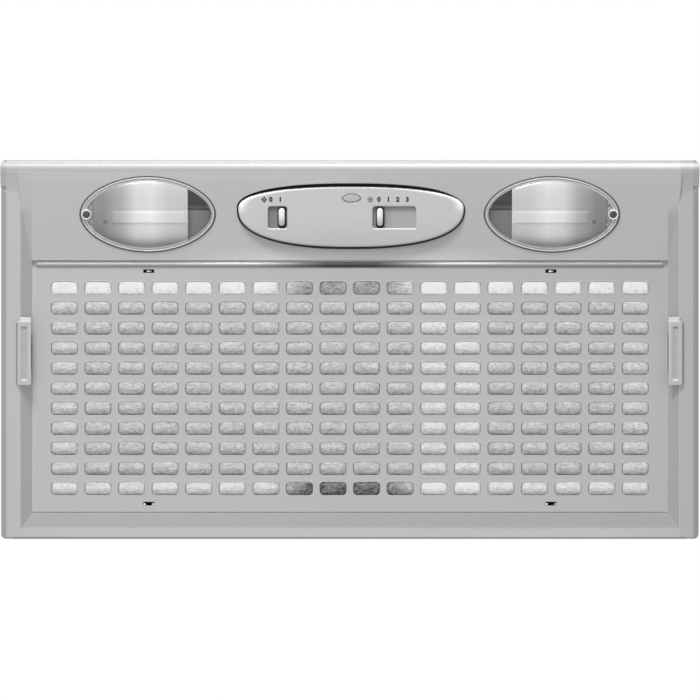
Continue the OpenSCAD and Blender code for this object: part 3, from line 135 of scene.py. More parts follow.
class Finish:
    """A material, or the world, in the making. Its shader's plain sockets are set by name."""

    def __init__(self, name, kind="Material"):
        self.kind = kind
        self.material = getattr(bpy.data, f"{kind.lower()}s").new(name)
        self.material.use_nodes = True
        self.tree = self.material.node_tree
        self.tree.nodes.clear()

    def node(self, kind, settings=None, inputs=None, out=0):
        """Adds a node, settings first, then its inputs, and gives one of its outputs."""
        made = self.tree.nodes.new(f"ShaderNode{kind}")
        for key, value in (settings or {}).items():
            setattr(made, key, value)
        for key, value in (inputs or {}).items():
            if isinstance(value, Tone):
                self.tree.links.new(value.socket, made.inputs[key])
            else:
                made.inputs[key].default_value = value
        return Tone(self, made.outputs[out])

    def sum(self, operation, a, b=0.0):
        return self.node("Math", {"operation": operation}, {0: a, 1: b})

    def limit(self, value, low=0.0, high=1.0):
        """0 at low, 1 at high, straight between and level beyond."""
        inputs = {"Value": value, "From Min": low, "From Max": high}
        return self.node("MapRange", {"clamp": True}, inputs)

    def place(self):
        """Where a point of the piece is at rest."""
        return self.node("TexCoord", out="Object")

    def along(self, axis):
        return self.node("SeparateXYZ", inputs={0: self.place()}, out="XYZ".index(axis))

    def cloud(self, scale, detail=4.0, rough=0.5, stretch=None):
        """Noise of the given fineness, in features to the metre."""
        where = self.place()
        if stretch:
            where = self.node("Mapping", inputs={"Vector": where, "Scale": stretch})
        inputs = {"Vector": where, "Scale": scale, "Detail": detail, "Roughness": rough}
        return self.node("TexNoise", inputs=inputs)

    def cells(self, scale, feature="F1", out=0):
        inputs = {"Vector": self.place(), "Scale": scale}
        return self.node("TexVoronoi", {"feature": feature}, inputs, out)

    def first(self, colour):
        """A colour's first channel."""
        return self.node("SeparateColor", inputs={0: colour})

    def along_stops(self, value, stops):
        """Lightness on a line through stops, as value goes from 0 to 1."""
        ramp = self.node("ValToRGB", inputs={"Fac": value})
        elements = ramp.socket.node.color_ramp.elements
        while len(elements) < len(stops):
            elements.new(1.0)
        for element, (at, shade) in zip(elements, stops):
            element.position = at
            element.color = (shade, shade, shade, 1)
        return self.first(ramp)

    def blend(self, share, a, b):
        """Colour between a, where share is 0, and b, where it is 1."""
        return self.node("Mix", {"data_type": "RGBA"}, {"Factor": share, 6: a, 7: b}, 2)

    def grey(self, value):
        """A plain grey of varying lightness."""
        return self.node("CombineColor", inputs={0: value, 1: value, 2: value})

    def bump(self, height, depth, edge, strength):
        """A bumpy surface, its edges softened by a radius where this isn't 0."""
        inputs = {"Height": height, "Distance": depth, "Strength": strength}
        if edge:
            inputs["Normal"] = self.node("Bevel", {"samples": 6}, {"Radius": edge})
        return self.node("Bump", inputs=inputs)

    def shader(self, **sockets):
        """The plain shader, its sockets given by name with _ for a space."""
        inputs = {key.replace("_", " "): value for key, value in sockets.items()}
        return self.node("BsdfPrincipled", inputs=inputs)

    def paint(self, base, rough, **sockets):
        """Finishes the material with the plain shader."""
        return self.done(self.shader(Base_Color=base, Roughness=rough, **sockets))

    def done(self, shader):
        out = self.tree.nodes.new(f"ShaderNodeOutput{self.kind}")
        self.tree.links.new(shader.socket, out.inputs[0])
        return self.material


def colour(level, warm=0.0):
    """Near-grey with its blue a little lower where warm is above 0."""
    return (level, level * (1 - warm * 0.3), level * (1 - warm), 1)


# Painted light and shade laid along the front rim's rounding, a lamp cover's length and its rim, each (share
# of the way, tone)
ROUNDED_FRONT = [
    (0.0, 0.32), (0.08, 0.24), (0.17, 0.18), (0.26, 0.32), (0.34, 0.45), (0.41, 0.67), (0.49, 0.69),
    (0.57, 0.62), (0.64, 0.58), (0.72, 0.51), (0.79, 0.445), (0.86, 0.445), (0.94, 0.5),
]
COVER_LENGTH = [
    (0.0, 0.24), (0.1, 0.25), (0.3, 0.42), (0.45, 0.70), (0.62, 0.76), (0.8, 0.60), (1.0, 0.56),
]
COVER_RIM = [
    (0.0, 0.3), (0.12, 0.45), (0.22, 0.66), (0.32, 0.66), (0.42, 0.36), (0.55, 0.38), (0.68, 0.68),
    (0.8, 0.68), (0.88, 0.5),
]


def frame_painted_light(f, level):
    """The frame's painted light and shade by its parts: bands, strips, slanted sides and rounded front."""
    x, y, z = (f.along(axis) for axis in "XYZ")
    right = f.limit(x, -0.001, 0.001)
    sloping = f.limit(z, -0.0085, -0.0081) * f.limit(z, -0.0015, -0.0019)
    to_rear = (y - 0.1344) * 0.609 - (abs(x) - 0.2476) * 0.886
    rear = sloping * f.limit(to_rear, -0.0002, 0.0002) * f.limit(y, 0.1, 0.101)
    side = sloping * f.limit(abs(x), 0.2390, 0.2396) * f.limit(abs(x), 0.2480, 0.2476)
    side = side * f.limit(y, -0.11, -0.1) * (1 - rear)
    # Painted shade: the side bands darker, more so on the right, and the rear band darker, more so on the
    # left.
    level = level * (1 - side * (0.11 + right * 0.09)) * (1 - rear * (0.405 - x * 0.29))
    # Painted light: a little paler behind the rear band.
    level *= 1 + f.limit(y, 0.1346, 0.1354) * f.limit(abs(x), 0.252, 0.2) * 0.09
    # Painted light on the flat front rim, a little less on the right.
    rim = f.limit(y, -0.124, -0.130) * f.limit(abs(x), 0.2484, 0.2480)
    level *= 1 + rim * (0.055 - right * 0.015)
    front = f.limit(y, -0.118, -0.1188)
    outer = f.limit(abs(x), 0.2578, 0.2584)
    # Painted shade on the slanted outer sides, less towards the front.
    level *= 1 - outer * (0.27 - front * 0.14)
    strip = f.limit(abs(x), 0.2480, 0.2484) * (1 - sloping) * f.limit(z, -0.0075, -0.0080)
    # Painted light and shade on the side strips: paler near the front, more so on the left, and darker on the
    # right.
    level *= 1 + strip * front * f.limit(y, -0.126, -0.119) * 0.08
    level = level * (1 + strip * (1 - right) * front * 0.02) * (1 - strip * right * 0.08)
    notch = outer * f.limit(y, -0.1240, -0.1234) * f.limit(y, -0.1214, -0.1222)
    # Painted light in the notch near the front corners.
    level *= 1 + notch * 0.25
    slope = f.limit(abs(x), 0.2396, 0.2390) * f.limit(y, -0.133, -0.132)
    slope *= f.limit(y, -0.0655, -0.0665)
    low = f.limit(y, -0.078, -0.069) * f.limit(abs(x), 0.13, 0.05)
    # Painted light on the ramp: a little on the left, and at its low end in the middle, lifting the plate's
    # shadow there.
    level = level * (1 + slope * (1 - right) * 0.04) * (1 + slope * low * 0.26)
    # Painted highlight and shade along the front rounding, darker on the left and paler on the right.
    rounding = f.along_stops(f.limit(y, -0.1428, -0.1328), ROUNDED_FRONT)
    return level * rounding * (2 + f.limit(y, -0.1345, -0.1370) * x * 1.5)


def grille_painted_light(f, level):
    """The grille's painted light and shade: a little darker to the right, a painted shadow and painted
    highlights on the bead along its front edge, and painted highlights along its side and rear edges and the
    slots' front lips.
    """
    x, y = f.along("X"), f.along("Y")
    # Painted shade: darker towards the right in the front rows, and at the far right.
    middle_rows = f.limit(x, -0.14, 0.0) * f.limit(y, -0.02, -0.05)
    level *= 1.005 - middle_rows * 0.07 - f.limit(x, 0.1, 0.24) * 0.045
    # On the bead along the front edge: a painted shadow in the middle, painted shade on its rear part and
    # painted highlights on its front part further out.
    bead = f.limit(y, -0.0612, -0.0622)
    middle = f.limit(abs(x), 0.070, 0.018) * bead
    shine = f.limit(abs(x), 0.035, 0.075) * f.limit(abs(x), 0.135, 0.095)
    shine *= f.limit(y, -0.0639, -0.0645)
    level = level * (1 - middle * 0.86) * (1 - bead * f.limit(y, -0.0645, -0.0639) * 0.24) + shine * 0.3
    # Painted highlights along the side and rear edges and on the slots' front lips.
    edges = f.sum("MAXIMUM", f.limit(abs(x), 0.2382, 0.2389), f.limit(y, 0.1222, 0.1229))
    start = FIRST_ROW_Y - SLOT_SIZE[1] / 2 - 0.8 * MM
    row = f.sum("FRACT", (y - start) / SLOT_PITCH[1])
    column = abs(f.sum("FRACT", x / SLOT_PITCH[0] + SLOT_COLUMNS / 2) - 0.5)
    lip = f.limit(row, 0.0, 0.012) * f.limit(row, 0.085, 0.06) * f.limit(column, 0.4, 0.36)
    lip = lip * f.limit(y, start, start + 0.1 * MM) * f.limit(y, 0.110, 0.109)
    lip *= f.limit(abs(x), 0.2265, 0.226)
    return level * (1 + edges * 0.35) * (1 + lip * 0.25)


def cap_painted_light(f, level):
    """A catch cap's painted light and shade: painted shade in its groove, a little blotched and deepest at
    its front end, a painted highlight at the groove's rear end, and painted highlights along its inner and
    front edges.
    """
    x, y = abs(f.along("X")) / MM, f.along("Y") / MM
    groove = f.limit(abs(x - (CATCH_X + CATCH_W / 2)), 2.6, 1.6)
    groove = groove * f.limit(y, CATCH_Y - 20.2, CATCH_Y - 19.6) * f.limit(y, CATCH_Y + 21, CATCH_Y + 20.2)
    start = f.limit(y, CATCH_Y - 17.5, CATCH_Y - 19.0)
    end = f.limit(y, CATCH_Y + 19.2, CATCH_Y + 19.8)
    groove_blotch = f.cloud(350, 4, 0.65)
    inner = f.limit(x, CATCH_X + 1.4, CATCH_X + 0.9)
    front = f.limit(y, CATCH_Y - 23.3, CATCH_Y - 23.8)
    # Painted shade in the groove, deepest at its front end and a little blotched, and a painted highlight at
    # its rear end.
    level = level * (1 - groove * (0.1 + start * 0.3 + (groove_blotch - 0.5) * 0.5)) * (1 + groove * end * 0.7)
    # Painted highlights along the inner and front edges.
    return level * (1 + f.sum("MAXIMUM", inner * 0.16, front * 0.35))


def grey_moulding(name="grey_moulding", painted_shading=None):
    """Satin light grey plastic: fine grain, faint flow marks, softened edges, and painted light and shade
    from a given function, where there is one.
    """
    f = Finish(name)
    grain = f.cloud(2600, 3, 0.6)
    flow = f.cloud(9, 3, 0.5, (1, 0.35, 1))
    level = 0.492 + (flow - 0.5) * 0.022 + (grain - 0.5) * 0.02
    # Painted light and shade laid over the plastic's tone, where given.
    if painted_shading:
        level = painted_shading(f, level)
    return f.paint(
        f.grey(level), 0.43 + (grain - 0.5) * 0.12, Specular_IOR_Level=0.42,
        Normal=f.bump(grain, 0.00004, 0.0007, 0.35),
    )


def plate_silver(name, level, edge, rim=False, painted_rear_shade=False):
    """Fine silver paint: tiny flakes under a satin coat. On the plate, painted highlights along its rolled
    front edge and behind its windows, and painted shade towards its rear edge; on the knobs, painted shade
    over their rear part.
    """
    f = Finish(name)
    flake = f.first(f.cells(5200, out=1))
    haze = f.cloud(30, 3)
    tone = level + (flake - 0.5) * 0.05 + (haze - 0.5) * 0.015
    if rim:
        x = abs(f.along("X") - PLATE_MIDDLE[0] * MM) / (PLATE_REACH[0] * MM)
        y = f.along("Y") - PLATE_MIDDLE[1] * MM
        front = f.limit(y, 0.004, -0.010)
        y = abs(y) / ((PLATE_REACH[2] - front * (PLATE_REACH[2] - PLATE_REACH[1])) * MM)
        share = (x**PLATE_SHAPE + y**PLATE_SHAPE) ** (1 / PLATE_SHAPE)
        # Painted highlight on the rolled front edge, and painted shade towards the rear edge.
        tone += f.limit(share, 0.88, 0.97) ** 2.2 * front * 0.9
        tone -= f.limit(y, 0.2, 0.9) * (1 - front) * 0.06
        # Painted highlights on the rear lips of the windows.
        for left, right in (LIGHT_WINDOW, SPEED_WINDOW):
            beside, half = abs(f.along("X") - (left + right) / 2 * MM), (right - left) / 2
            within = f.limit(beside, (half + 0.2) * MM, (half - 0.8) * MM)
            behind = f.along("Y") - (WINDOW_Y + WINDOW_HALF) * MM
            tone += within * f.limit(behind, -0.0001, 0.0001) * f.limit(behind, 0.0011, 0.0008) * 0.4
    # Painted shade over the rear part.
    if painted_rear_shade:
        tone *= 1 - f.limit(f.along("Y"), -0.1010, -0.0955) * 0.42
    normal = f.bump(flake, 0.00002, edge, 0.3)
    return f.paint(f.grey(tone), 0.34 + (flake - 0.5) * 0.1, Metallic=0.12, Normal=normal)


def galvanised(name, level):
    """Zinc-coated sheet with its crystal pattern."""
    f = Finish(name)
    crystals = f.first(f.cells(110, out=1))
    small = f.cloud(500, 5, 0.6)
    tone = level + (crystals - 0.5) * 0.09 + (small - 0.5) * 0.06
    normal = f.bump(small, 0.00005, 0.0004, 0.2)
    return f.paint(f.grey(tone), 0.36 + crystals * 0.16, Metallic=0.85, Normal=normal)


def bright_steel(name, level, rough):
    """Drawn or turned steel with fine lines."""
    f = Finish(name)
    lines = f.cloud(1800, 3, 0.6, (1, 0.15, 1))
    return f.paint(
        f.grey(level + (lines - 0.5) * 0.1), rough + (lines - 0.5) * 0.14, Metallic=1.0,
        Normal=f.bump(lines, 0.00002, 0.0002, 0.25),
    )


def dull_metal(name, level, metal, rough):
    """Cast or pressed metal with faint blotches."""
    f = Finish(name)
    blotch = f.cloud(60, 4, 0.6)
    fine = f.cloud(1400, 3, 0.6)
    return f.paint(
        f.grey(level * (0.9 + blotch * 0.2)), rough + (blotch - 0.5) * 0.2, Metallic=metal,
        Normal=f.bump(fine, 0.00006, 0.0004, 0.3),
    )


def moulded(name, level, rough=0.5, warm=0.0):
    """Plain moulded plastic, rubber or glazed ware with a fine grain."""
    f = Finish(name)
    grain = f.cloud(1500, 3, 0.6)
    share = f.cloud(25, 2)
    tone = f.blend(share, colour(level * 0.92, warm), colour(level * 1.08, warm))
    return f.paint(tone, rough + (grain - 0.5) * 0.15, Normal=f.bump(grain, 0.00005, 0.0004, 0.3))


def shutter_grey(name, level, left, right):
    """Floor of a window: in the shade of its front and left edges."""
    f = Finish(name)
    x, y = f.along("X"), f.along("Y") - WINDOW_Y * MM
    fine = f.cloud(1200, 3)
    across = f.limit(x, left * MM, right * MM)
    tone = level * (0.72 + across * 0.4 + (fine - 0.5) * 0.1) * (1 - f.limit(y, -0.0030, -0.0075) * 0.3)
    return f.paint(f.grey(tone), 0.5 + (fine - 0.5) * 0.1)


def opal_glass():
    """Opal bulb glass."""
    f = Finish("bulb_glass")
    swirl = f.cloud(40, 3)
    return f.paint(
        f.grey(0.8 + (swirl - 0.5) * 0.05), 0.12 + swirl * 0.06, Coat_Weight=0.3,
        Normal=f.bump(swirl, 0.0001, 0, 0.1),
    )


def fleece():
    """White matted fibre, lighter along its first and last rows, its ends and a band of columns and darker in
    the middle of its first and last rows, with painted shade over each slot's rear part and sides and painted
    light at its front.
    """
    f = Finish("mat_fibre")
    x, y = f.along("X"), f.along("Y")
    row = f.sum("FRACT", (y - (FIRST_ROW_Y - SLOT_PITCH[1] / 2)) / SLOT_PITCH[1])
    rear = f.limit(row, 0.42, 0.86)
    long = f.cloud(300, 9, 0.75, (0.5, 1.5, 1))
    cross = f.cloud(380, 9, 0.72, (1.6, 0.55, 1))
    fine = f.cloud(1500, 5, 0.75)
    lumps = f.cloud(120, 3, 0.6)
    threads = f.limit(1 - abs(long - 0.5) * 9)
    others = f.limit(1 - abs(cross - 0.5) * 9)
    weave = f.sum("MAXIMUM", threads, others)
    first = f.limit(y, -0.0386, -0.0392)
    last = f.limit(y, 0.0970, 0.0976)
    ends = f.limit(abs(x), 0.2020, 0.2026)
    paler_edges = f.sum("MAXIMUM", f.sum("MAXIMUM", first * 2.3, last * 1.2), ends * 0.45)
    pale_columns = f.limit(x, 0.0515, 0.0530) * f.limit(x, 0.1005, 0.0990)
    tufts = f.cloud(560, 7, 0.75, (0.65, 1.3, 1))
    front = f.limit(row, 0.235, 0.180)
    across = f.sum("FRACT", (x + SLOT_PITCH[0] * SLOT_COLUMNS / 2) / SLOT_PITCH[0])
    sides = f.limit(abs(across - 0.5), 0.372, 0.392)
    dim_middle = f.sum("MAXIMUM", first, last) * f.limit(abs(x + 0.002), 0.062, 0.030)
    # Lighter along the first and last rows, the ends and a band of columns, darker in the middle of the first
    # and last rows.
    level = 0.62 + paler_edges * 0.17 + pale_columns * 0.2 - dim_middle * 0.66
    level = level + (lumps - 0.5) * 0.35 + (weave - 0.35) * 0.16 + (fine - 0.5) * 0.3
    level += (tufts - 0.5) * (1.35 + rear * 0.7)
    # Painted shade over the rear part of each slot, less in the first row.
    level *= 1 - rear * (1 - first * 0.6) * (0.3 + lumps * 0.6)
    # Painted shade at each slot's sides and painted light at its front.
    level = level * (1 - sides * 0.22) * (1 + front * 0.3)
    return f.paint(
        f.grey(f.limit(level) * 0.97), 0.85, Sheen_Weight=0.2, Specular_IOR_Level=0.2,
        Normal=f.bump(weave * 0.6 + fine * 0.4, 0.0006, 0, 0.6),
    )


def lens_frosted():
    """Frosted part of a lamp cover, with painted light along its length, brightest inside its middle and
    darkest at its outer end, painted shade towards its rear edge, and painted highlights and shade lines
    across its rim.
    """
    f = Finish("lens_frosted")
    u = LENS_CENTRE[0] - abs(f.along("X"))
    v = f.along("Y") - LENS_CENTRE[1]
    dimples = f.cells(1100, "SMOOTH_F1")
    haze = f.cloud(45, 3)
    # Painted light along the cover's length: paler inside its middle, darker towards its ends, most at its
    # outer end.
    painted_length_light = f.along_stops(f.limit(u, -0.0405, 0.0302), COVER_LENGTH)
    rear = f.limit(v, 0.0130, 0.0225)
    bar = f.limit(abs(v - 0.0020), 0.0060, 0.0040) * f.limit(u, -0.0290, -0.0250)
    spot_u = (u + 0.0317) / 0.0019
    spot_v = (v - 0.0058) / 0.0017
    spot = f.limit(spot_u * spot_u + spot_v * spot_v, 1.6, 0.2)
    outer = f.limit(u, -0.0400, -0.0408)
    a, b = abs(u) / (LENS_HALF[0] * COVER_SHARE), abs(v) / (LENS_HALF[1] * COVER_SHARE)
    share = (a**LENS_SHAPE + b**LENS_SHAPE) ** (1 / LENS_SHAPE)
    fall_u = (a / share) ** (LENS_SHAPE - 1) / LENS_HALF[0]
    fall_v = (b / share) ** (LENS_SHAPE - 1) / LENS_HALF[1]
    depth = (1 - share) / (fall_u * fall_u + fall_v * fall_v) ** 0.5
    rim = f.limit(depth, 0.0035, 0.0033)
    ridges = f.along_stops(f.limit(depth, 0.0, 0.004), COVER_RIM)
    level = painted_length_light * (0.98 + bar * 0.2 + (haze - 0.5) * 0.1 + (dimples - 0.5) * 0.05)
    # Painted shade towards the rear edge.
    level = level * (1 - rear ** 1.6 * 0.55) * (1 - spot * 0.45) * (1 - outer)
    marks = f.cloud(420, 4, 0.7)
    level += outer * (0.3 + (marks - 0.5) * 1.4)
    # Painted highlights and shade lines across the rim.
    level = level * (1 - rim) + rim * ridges
    ribs = f.cloud(900, 3, 0.6) * outer * (1 - rim)
    return f.paint(
        f.blend(f.limit(level), colour(0.0), colour(1.0, 0.03)), 0.32 + haze * 0.1,
        Normal=f.bump(dimples * 0.25 + ribs, 0.0006, 0, 0.35), Coat_Weight=0.25, Coat_Roughness=0.12,
    )


def lens_clear():
    """Clear inner end of a lamp cover, with only a faint film on it."""
    f = Finish("lens_clear")
    film = f.cloud(90, 3)
    return f.paint((0.85, 0.86, 0.86, 1), 0.06 + film * 0.06, Alpha=0.05 + film * 0.04)


def lamp_sheet():
    """Dull heat shield behind the clear end of a lamp cover."""
    f = Finish("lamp_sheet")
    u = LENS_CENTRE[0] - abs(f.along("X"))
    blotch = f.cloud(70, 4, 0.6)
    # Painted shade: darker towards the cover's inner end.
    level = 0.21 - f.limit(u, 0.030, 0.046) * 0.06 + (blotch - 0.5) * 0.05
    return f.paint(
        f.grey(level), 0.55 + (blotch - 0.5) * 0.2, Metallic=0.2,
        Normal=f.bump(blotch, 0.0002, 0.0003, 0.2),
    )


def ink():
    """Dark grey printing."""
    f = Finish("marking_ink")
    patch = f.cloud(900, 3)
    return f.paint(f.grey(0.006 + patch * 0.01), 0.7)


FINISHES = {
    "frame": grey_moulding("frame_moulding", frame_painted_light),
    "grille": grey_moulding("grille_moulding", grille_painted_light),
    "grey": grey_moulding(),
    "cap": grey_moulding("cap_moulding", cap_painted_light),
    "plate": plate_silver("plate_silver", 0.535, 0.0003, rim=True),
    "knob": plate_silver("knob_silver", 0.88, 0.0002, painted_rear_shade=True),
    # Paler than the frame: painted light in the grille's seams.
    "lip": moulded("seam_lip", 0.62, 0.5),
    # Dark band round the lamp covers: painted shadow.
    "ring": moulded("lens_gap_shadow", 0.1, 0.8),
    "boss": moulded("boss_white", 0.85, 0.3),
    # Near-black: painted shadow in the gap round the plate and beside the knob caps.
    "gap": moulded("shadow_black", 0.003, 0.9),
    "sheet": galvanised("steel_sheet", 0.5),
    "inner": galvanised("inner_sheet", 0.32),
    "spring": bright_steel("spring_steel", 0.75, 0.2),
    # Near-black screw heads: painted shade of a deep recess.
    "screw": bright_steel("screw_steel", 0.55, 0.3),
    "dark_screw": bright_steel("dark_screw", 0.12, 0.35),
    "lens": lens_frosted(),
    "lens_clear": lens_clear(),
    "lamp_sheet": lamp_sheet(),
    "bulb": opal_glass(),
    "eye": moulded("indicator", 0.47, 0.12),
    "shutter": shutter_grey("shutter_grey", 0.34, SPEED_WINDOW[0], SPEED_WINDOW[0] + 16),
    "shutter_dark": shutter_grey("shutter_dark", 0.25, *LIGHT_WINDOW),
    # Dark strip beside the catch caps: painted shadow.
    "shade": moulded("shadow_strip_grey", 0.2, 0.6),
    "ceramic": moulded("white_ceramic", 0.78, 0.25, 0.05),
    # Near-black lamp housings: painted shade inside the lamps.
    "housing": dull_metal("housing_metal", 0.085, 0.3, 0.5),
    "dark": moulded("dark_plastic", 0.035, 0.45),
    "motor": dull_metal("motor_metal", 0.2, 0.4, 0.4),
    "flap": dull_metal("flap_metal", 0.55, 0.8, 0.38),
    "rubber": moulded("black_rubber", 0.02, 0.75),
    "white": moulded("white_plastic", 0.75, 0.35, 0.03),
    "fleece": fleece(),
    "ink": ink(),
}

NODE_FINISHES = {
    "frame": "underside_frame",
    "grille": "filter_grille",
    "grey": "_catch",
    "plate": "control_plate",
    "knob": "light_knob speed_knob",
    "sheet": "casing casing_top partition motor_bracket",
    "inner": "scroll_wrapper _side_plate",
    "spring": "hinge_pins _mat_wire _catch_spring cabinet_clips",
    "screw": "lens_screws casing_screws collar_screws bracket_screws guide_screws motor_shaft flap_pin",
    "lens": "_lens",
    "bulb": "_bulb",
    "eye": "indicator_lens",
    "ceramic": "_lampholder",
    "housing": "_lamp_housing",
    "dark": "_catch_guide light_switch speed_switch switch_carrier impeller _blades _end_ring duct_collar"
    " cable_gland",
    "motor": "motor",
    "flap": "front_flap rear_flap",
    "rubber": "motor_mounts",
    "white": "capacitor terminal_block",
}


def dress(piece, finish):
    """Gives a piece one finish all over."""
    piece.data.materials.clear()
    piece.data.materials.append(FINISHES[finish])


def dress_nodes():
    """Dresses the model's nodes. A name that starts with _ stands for a left and a right one."""
    for finish, names in NODE_FINISHES.items():
        for name in names.split():
            for node in [f"left{name}", f"right{name}"] if name[0] == "_" else [name]:
                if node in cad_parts:
                    dress(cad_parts[node], finish)


def linked(name, data):
    """An object put into the scene."""
    thing = bpy.data.objects.new(name, data)
    bpy.context.scene.collection.objects.link(thing)
    return thing


def new_piece(name, data, body="hood"):
    """A piece that rides on a body."""
    piece = linked(name, data)
    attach(piece, body)
    return piece


def ramp_z(y):
    return RAMP_FRONT_Z + (y - RAMP_FRONT_Y) * RAMP_SLOPE


def slot_bulge(x, y):
    """How far the mat bulges into its slot at a point, from 0 to 1, and the slot's column and row."""
    column = x / SLOT_PITCH[0] + (SLOT_COLUMNS - 1) / 2
    row = (y - FIRST_ROW_Y) / SLOT_PITCH[1]
    i, j = round(column), round(row)
    if not (0 <= i < SLOT_COLUMNS and 0 <= j < SLOT_ROWS):
        return 0.0, 0, 0
    u = abs(column - i) * SLOT_PITCH[0] / (SLOT_SIZE[0] / 2)
    v = (row - j) * SLOT_PITCH[1] / (SLOT_SIZE[1] / 2)
    if u >= 1 or abs(v) >= 1:
        return 0.0, i, j
    ends = (1 - u**9) ** 0.6
    across = 1.0
    if v > -0.75:
        across = 1 - 0.5 * ((v + 0.75) / 1.75) ** 1.4
    elif v < -0.93:
        across = 1 - ((-0.93 - v) / 0.07) ** 2 * 0.35
    across *= 1 - max(0.0, (v - 0.8) / 0.2) ** 2
    return ends * across, i, j


def slot_lines(low, high, first, pitch, count, half):
    """Mesh lines across the mat: close together at the slots' edges, wider elsewhere."""
    steps = (0.02 * MM, 0.3 * MM, 0.8 * MM, 1.6 * MM)
    lines = {low, high}
    for k in range(count):
        middle = first + k * pitch
        lines.update(middle - half + step for step in steps)
        lines.update(middle + half - step for step in steps)
        lines.update((middle - half - 0.05 * MM, middle + half + 0.05 * MM))
        inner = half - steps[-1]
        parts = max(2, round(2 * inner / (1.2 * MM)))
        lines.update(middle - inner + 2 * inner * n / parts for n in range(1, parts))
    return sorted(line for line in lines if low <= line <= high)


def make_fleece():
    """The grease mat: a matted fibre pad that swells into each of the slots."""
    low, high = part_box("filter_mat")
    first_x = -(SLOT_COLUMNS - 1) / 2 * SLOT_PITCH[0]
    xs = slot_lines(low.x, high.x, first_x, SLOT_PITCH[0], SLOT_COLUMNS, SLOT_SIZE[0] / 2)
    ys = slot_lines(low.y, high.y, FIRST_ROW_Y, SLOT_PITCH[1], SLOT_ROWS, SLOT_SIZE[1] / 2)
    nx, ny = len(xs) - 1, len(ys) - 1
    rng = random.Random(7)
    fullness = [[rng.uniform(0.82, 1.0) for _ in range(SLOT_ROWS)] for _ in range(SLOT_COLUMNS)]
    verts = []
    for y in ys:
        for x in xs:
            swell, column, row = slot_bulge(x, y)
            z = PLATE_TOP + 0.02 * MM
            if swell > 0:
                fuzz = noise.fractal(Vector((x * 420, y * 640, 3)), 0.8, 2.1, 4)
                lump = noise.noise(Vector((x * 110, y * 160, 9)))
                drop = 1.62 * fullness[column][row] + 0.2 * lump + 0.16 * fuzz
                z -= min(1.74, max(0.0, swell * drop)) * MM
            verts.append((x, y, z))
    base = len(verts)
    rim = (
        [(i, 0) for i in range(nx)]
        + [(nx, j) for j in range(ny)]
        + [(i, ny) for i in range(nx, 0, -1)]
        + [(0, j) for j in range(ny, 0, -1)]
    )
    verts.extend((xs[i], ys[j], high.z - 0.3 * MM) for i, j in rim)
    verts.append(((low.x + high.x) / 2, (low.y + high.y) / 2, high.z))
    wide = nx + 1
    faces = []
    for a in (j * wide + i for j in range(ny) for i in range(nx)):
        faces.append((a, a + wide, a + wide + 1, a + 1))
    for k, (i, j) in enumerate(rim):
        after = (k + 1) % len(rim)
        following = rim[after][1] * wide + rim[after][0]
        faces.append((j * wide + i, following, base + after, base + k))
        faces.append((base + k, base + after, len(verts) - 1))
    mesh = bpy.data.meshes.new("grease_mat")
    mesh.from_pydata(verts, [], faces)
    mesh.update()
    for polygon in mesh.polygons:
        polygon.use_smooth = True
    mat = new_piece("grease_mat", mesh, "grille")
    dress(mat, "fleece")
    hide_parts("filter_mat")


def on_ramp(side, u, v, w):
    """A point of a lamp cover's own frame, u inwards, v rearwards and w into the hood, in mm."""
    y0 = LENS_CENTRE[1]
    y = y0 + (v * cos(RAMP_TILT) - w * sin(RAMP_TILT)) * MM
    z = ramp_z(y0) + (v * sin(RAMP_TILT) + w * cos(RAMP_TILT)) * MM
    return (side * (LENS_CENTRE[0] - u * MM), y, z)


def eased(x, points):
    """Height at x on straight lines between points, each (x, height)."""
    for (x0, h0), (x1, h1) in zip(points, points[1:]):
        if x <= x1:
            t = max(0.0, (x - x0) / (x1 - x0))
            return h0 + (h1 - h0) * t
    return points[-1][1]


# Lamp cover's profile: the dome by its share of the way out, the rim by its distance from the edge in mm
LENS_DOME = [
    (0.0, -4.5), (0.32, -4.4), (0.54, -4.15), (0.69, -3.8), (0.8, -3.35), (0.875, -2.8), (0.93, -2.2),
    (0.965, -1.6), (0.985, -1.05), (1.0, -0.75),
]
LENS_RIM = [
    (0.0, -0.2), (0.25, -0.9), (0.5, -1.22), (0.9, -1.25), (1.2, -0.95), (1.5, -0.8), (1.9, -0.95),
    (2.3, -1.1), (2.5, -0.95), (2.7, -0.75),
]
RIM_WIDTH = 2.7
DOME_SCALE = 0.905
CHORD_U, CLEAR_U = -40.5, 30.2
BAR_U, BAR_V = (-28.1, 29.4), (-2.9, 6.9)


def oval_share(u, v):
    """Share of the way from a cover's middle to its edge, and how much of it a millimetre takes."""
    half_u, half_v = LENS_HALF[0] / MM, LENS_HALF[1] / MM
    a, b = abs(u / half_u), abs(v / half_v)
    share = (a**LENS_SHAPE + b**LENS_SHAPE) ** (1 / LENS_SHAPE)
    if share < 1e-6:
        return 0.0, 1 / half_v
    a, b = a / share, b / share
    return share, hypot(a ** (LENS_SHAPE - 1) / half_u, b ** (LENS_SHAPE - 1) / half_v)


def lens_height(u, v):
    """Height of the lamp cover's outside at a point, negative outwards."""
    share, fall = oval_share(u, v)
    inner = 1 - RIM_WIDTH * fall
    if share > inner:
        return eased((1 - share) / fall, LENS_RIM)
    height = eased(share / inner, LENS_DOME) * DOME_SCALE
    if share < inner * 0.995:
        if u < CHORD_U - 0.8:
            return -0.75
        if u < CHORD_U:
            return min(height, -1.9)
        from_u = min(u - BAR_U[0], BAR_U[1] - u)
        from_v = min(v - BAR_V[0], BAR_V[1] - v)
        height -= 0.45 * max(0.0, min(1.0, min(from_u, from_v) / 1.1))
        ridge = abs(v + 5.6) / 2.3
        if ridge < 1 and -25 < u < 24:
            height -= 0.14 * (1 - ridge**2)
    return height


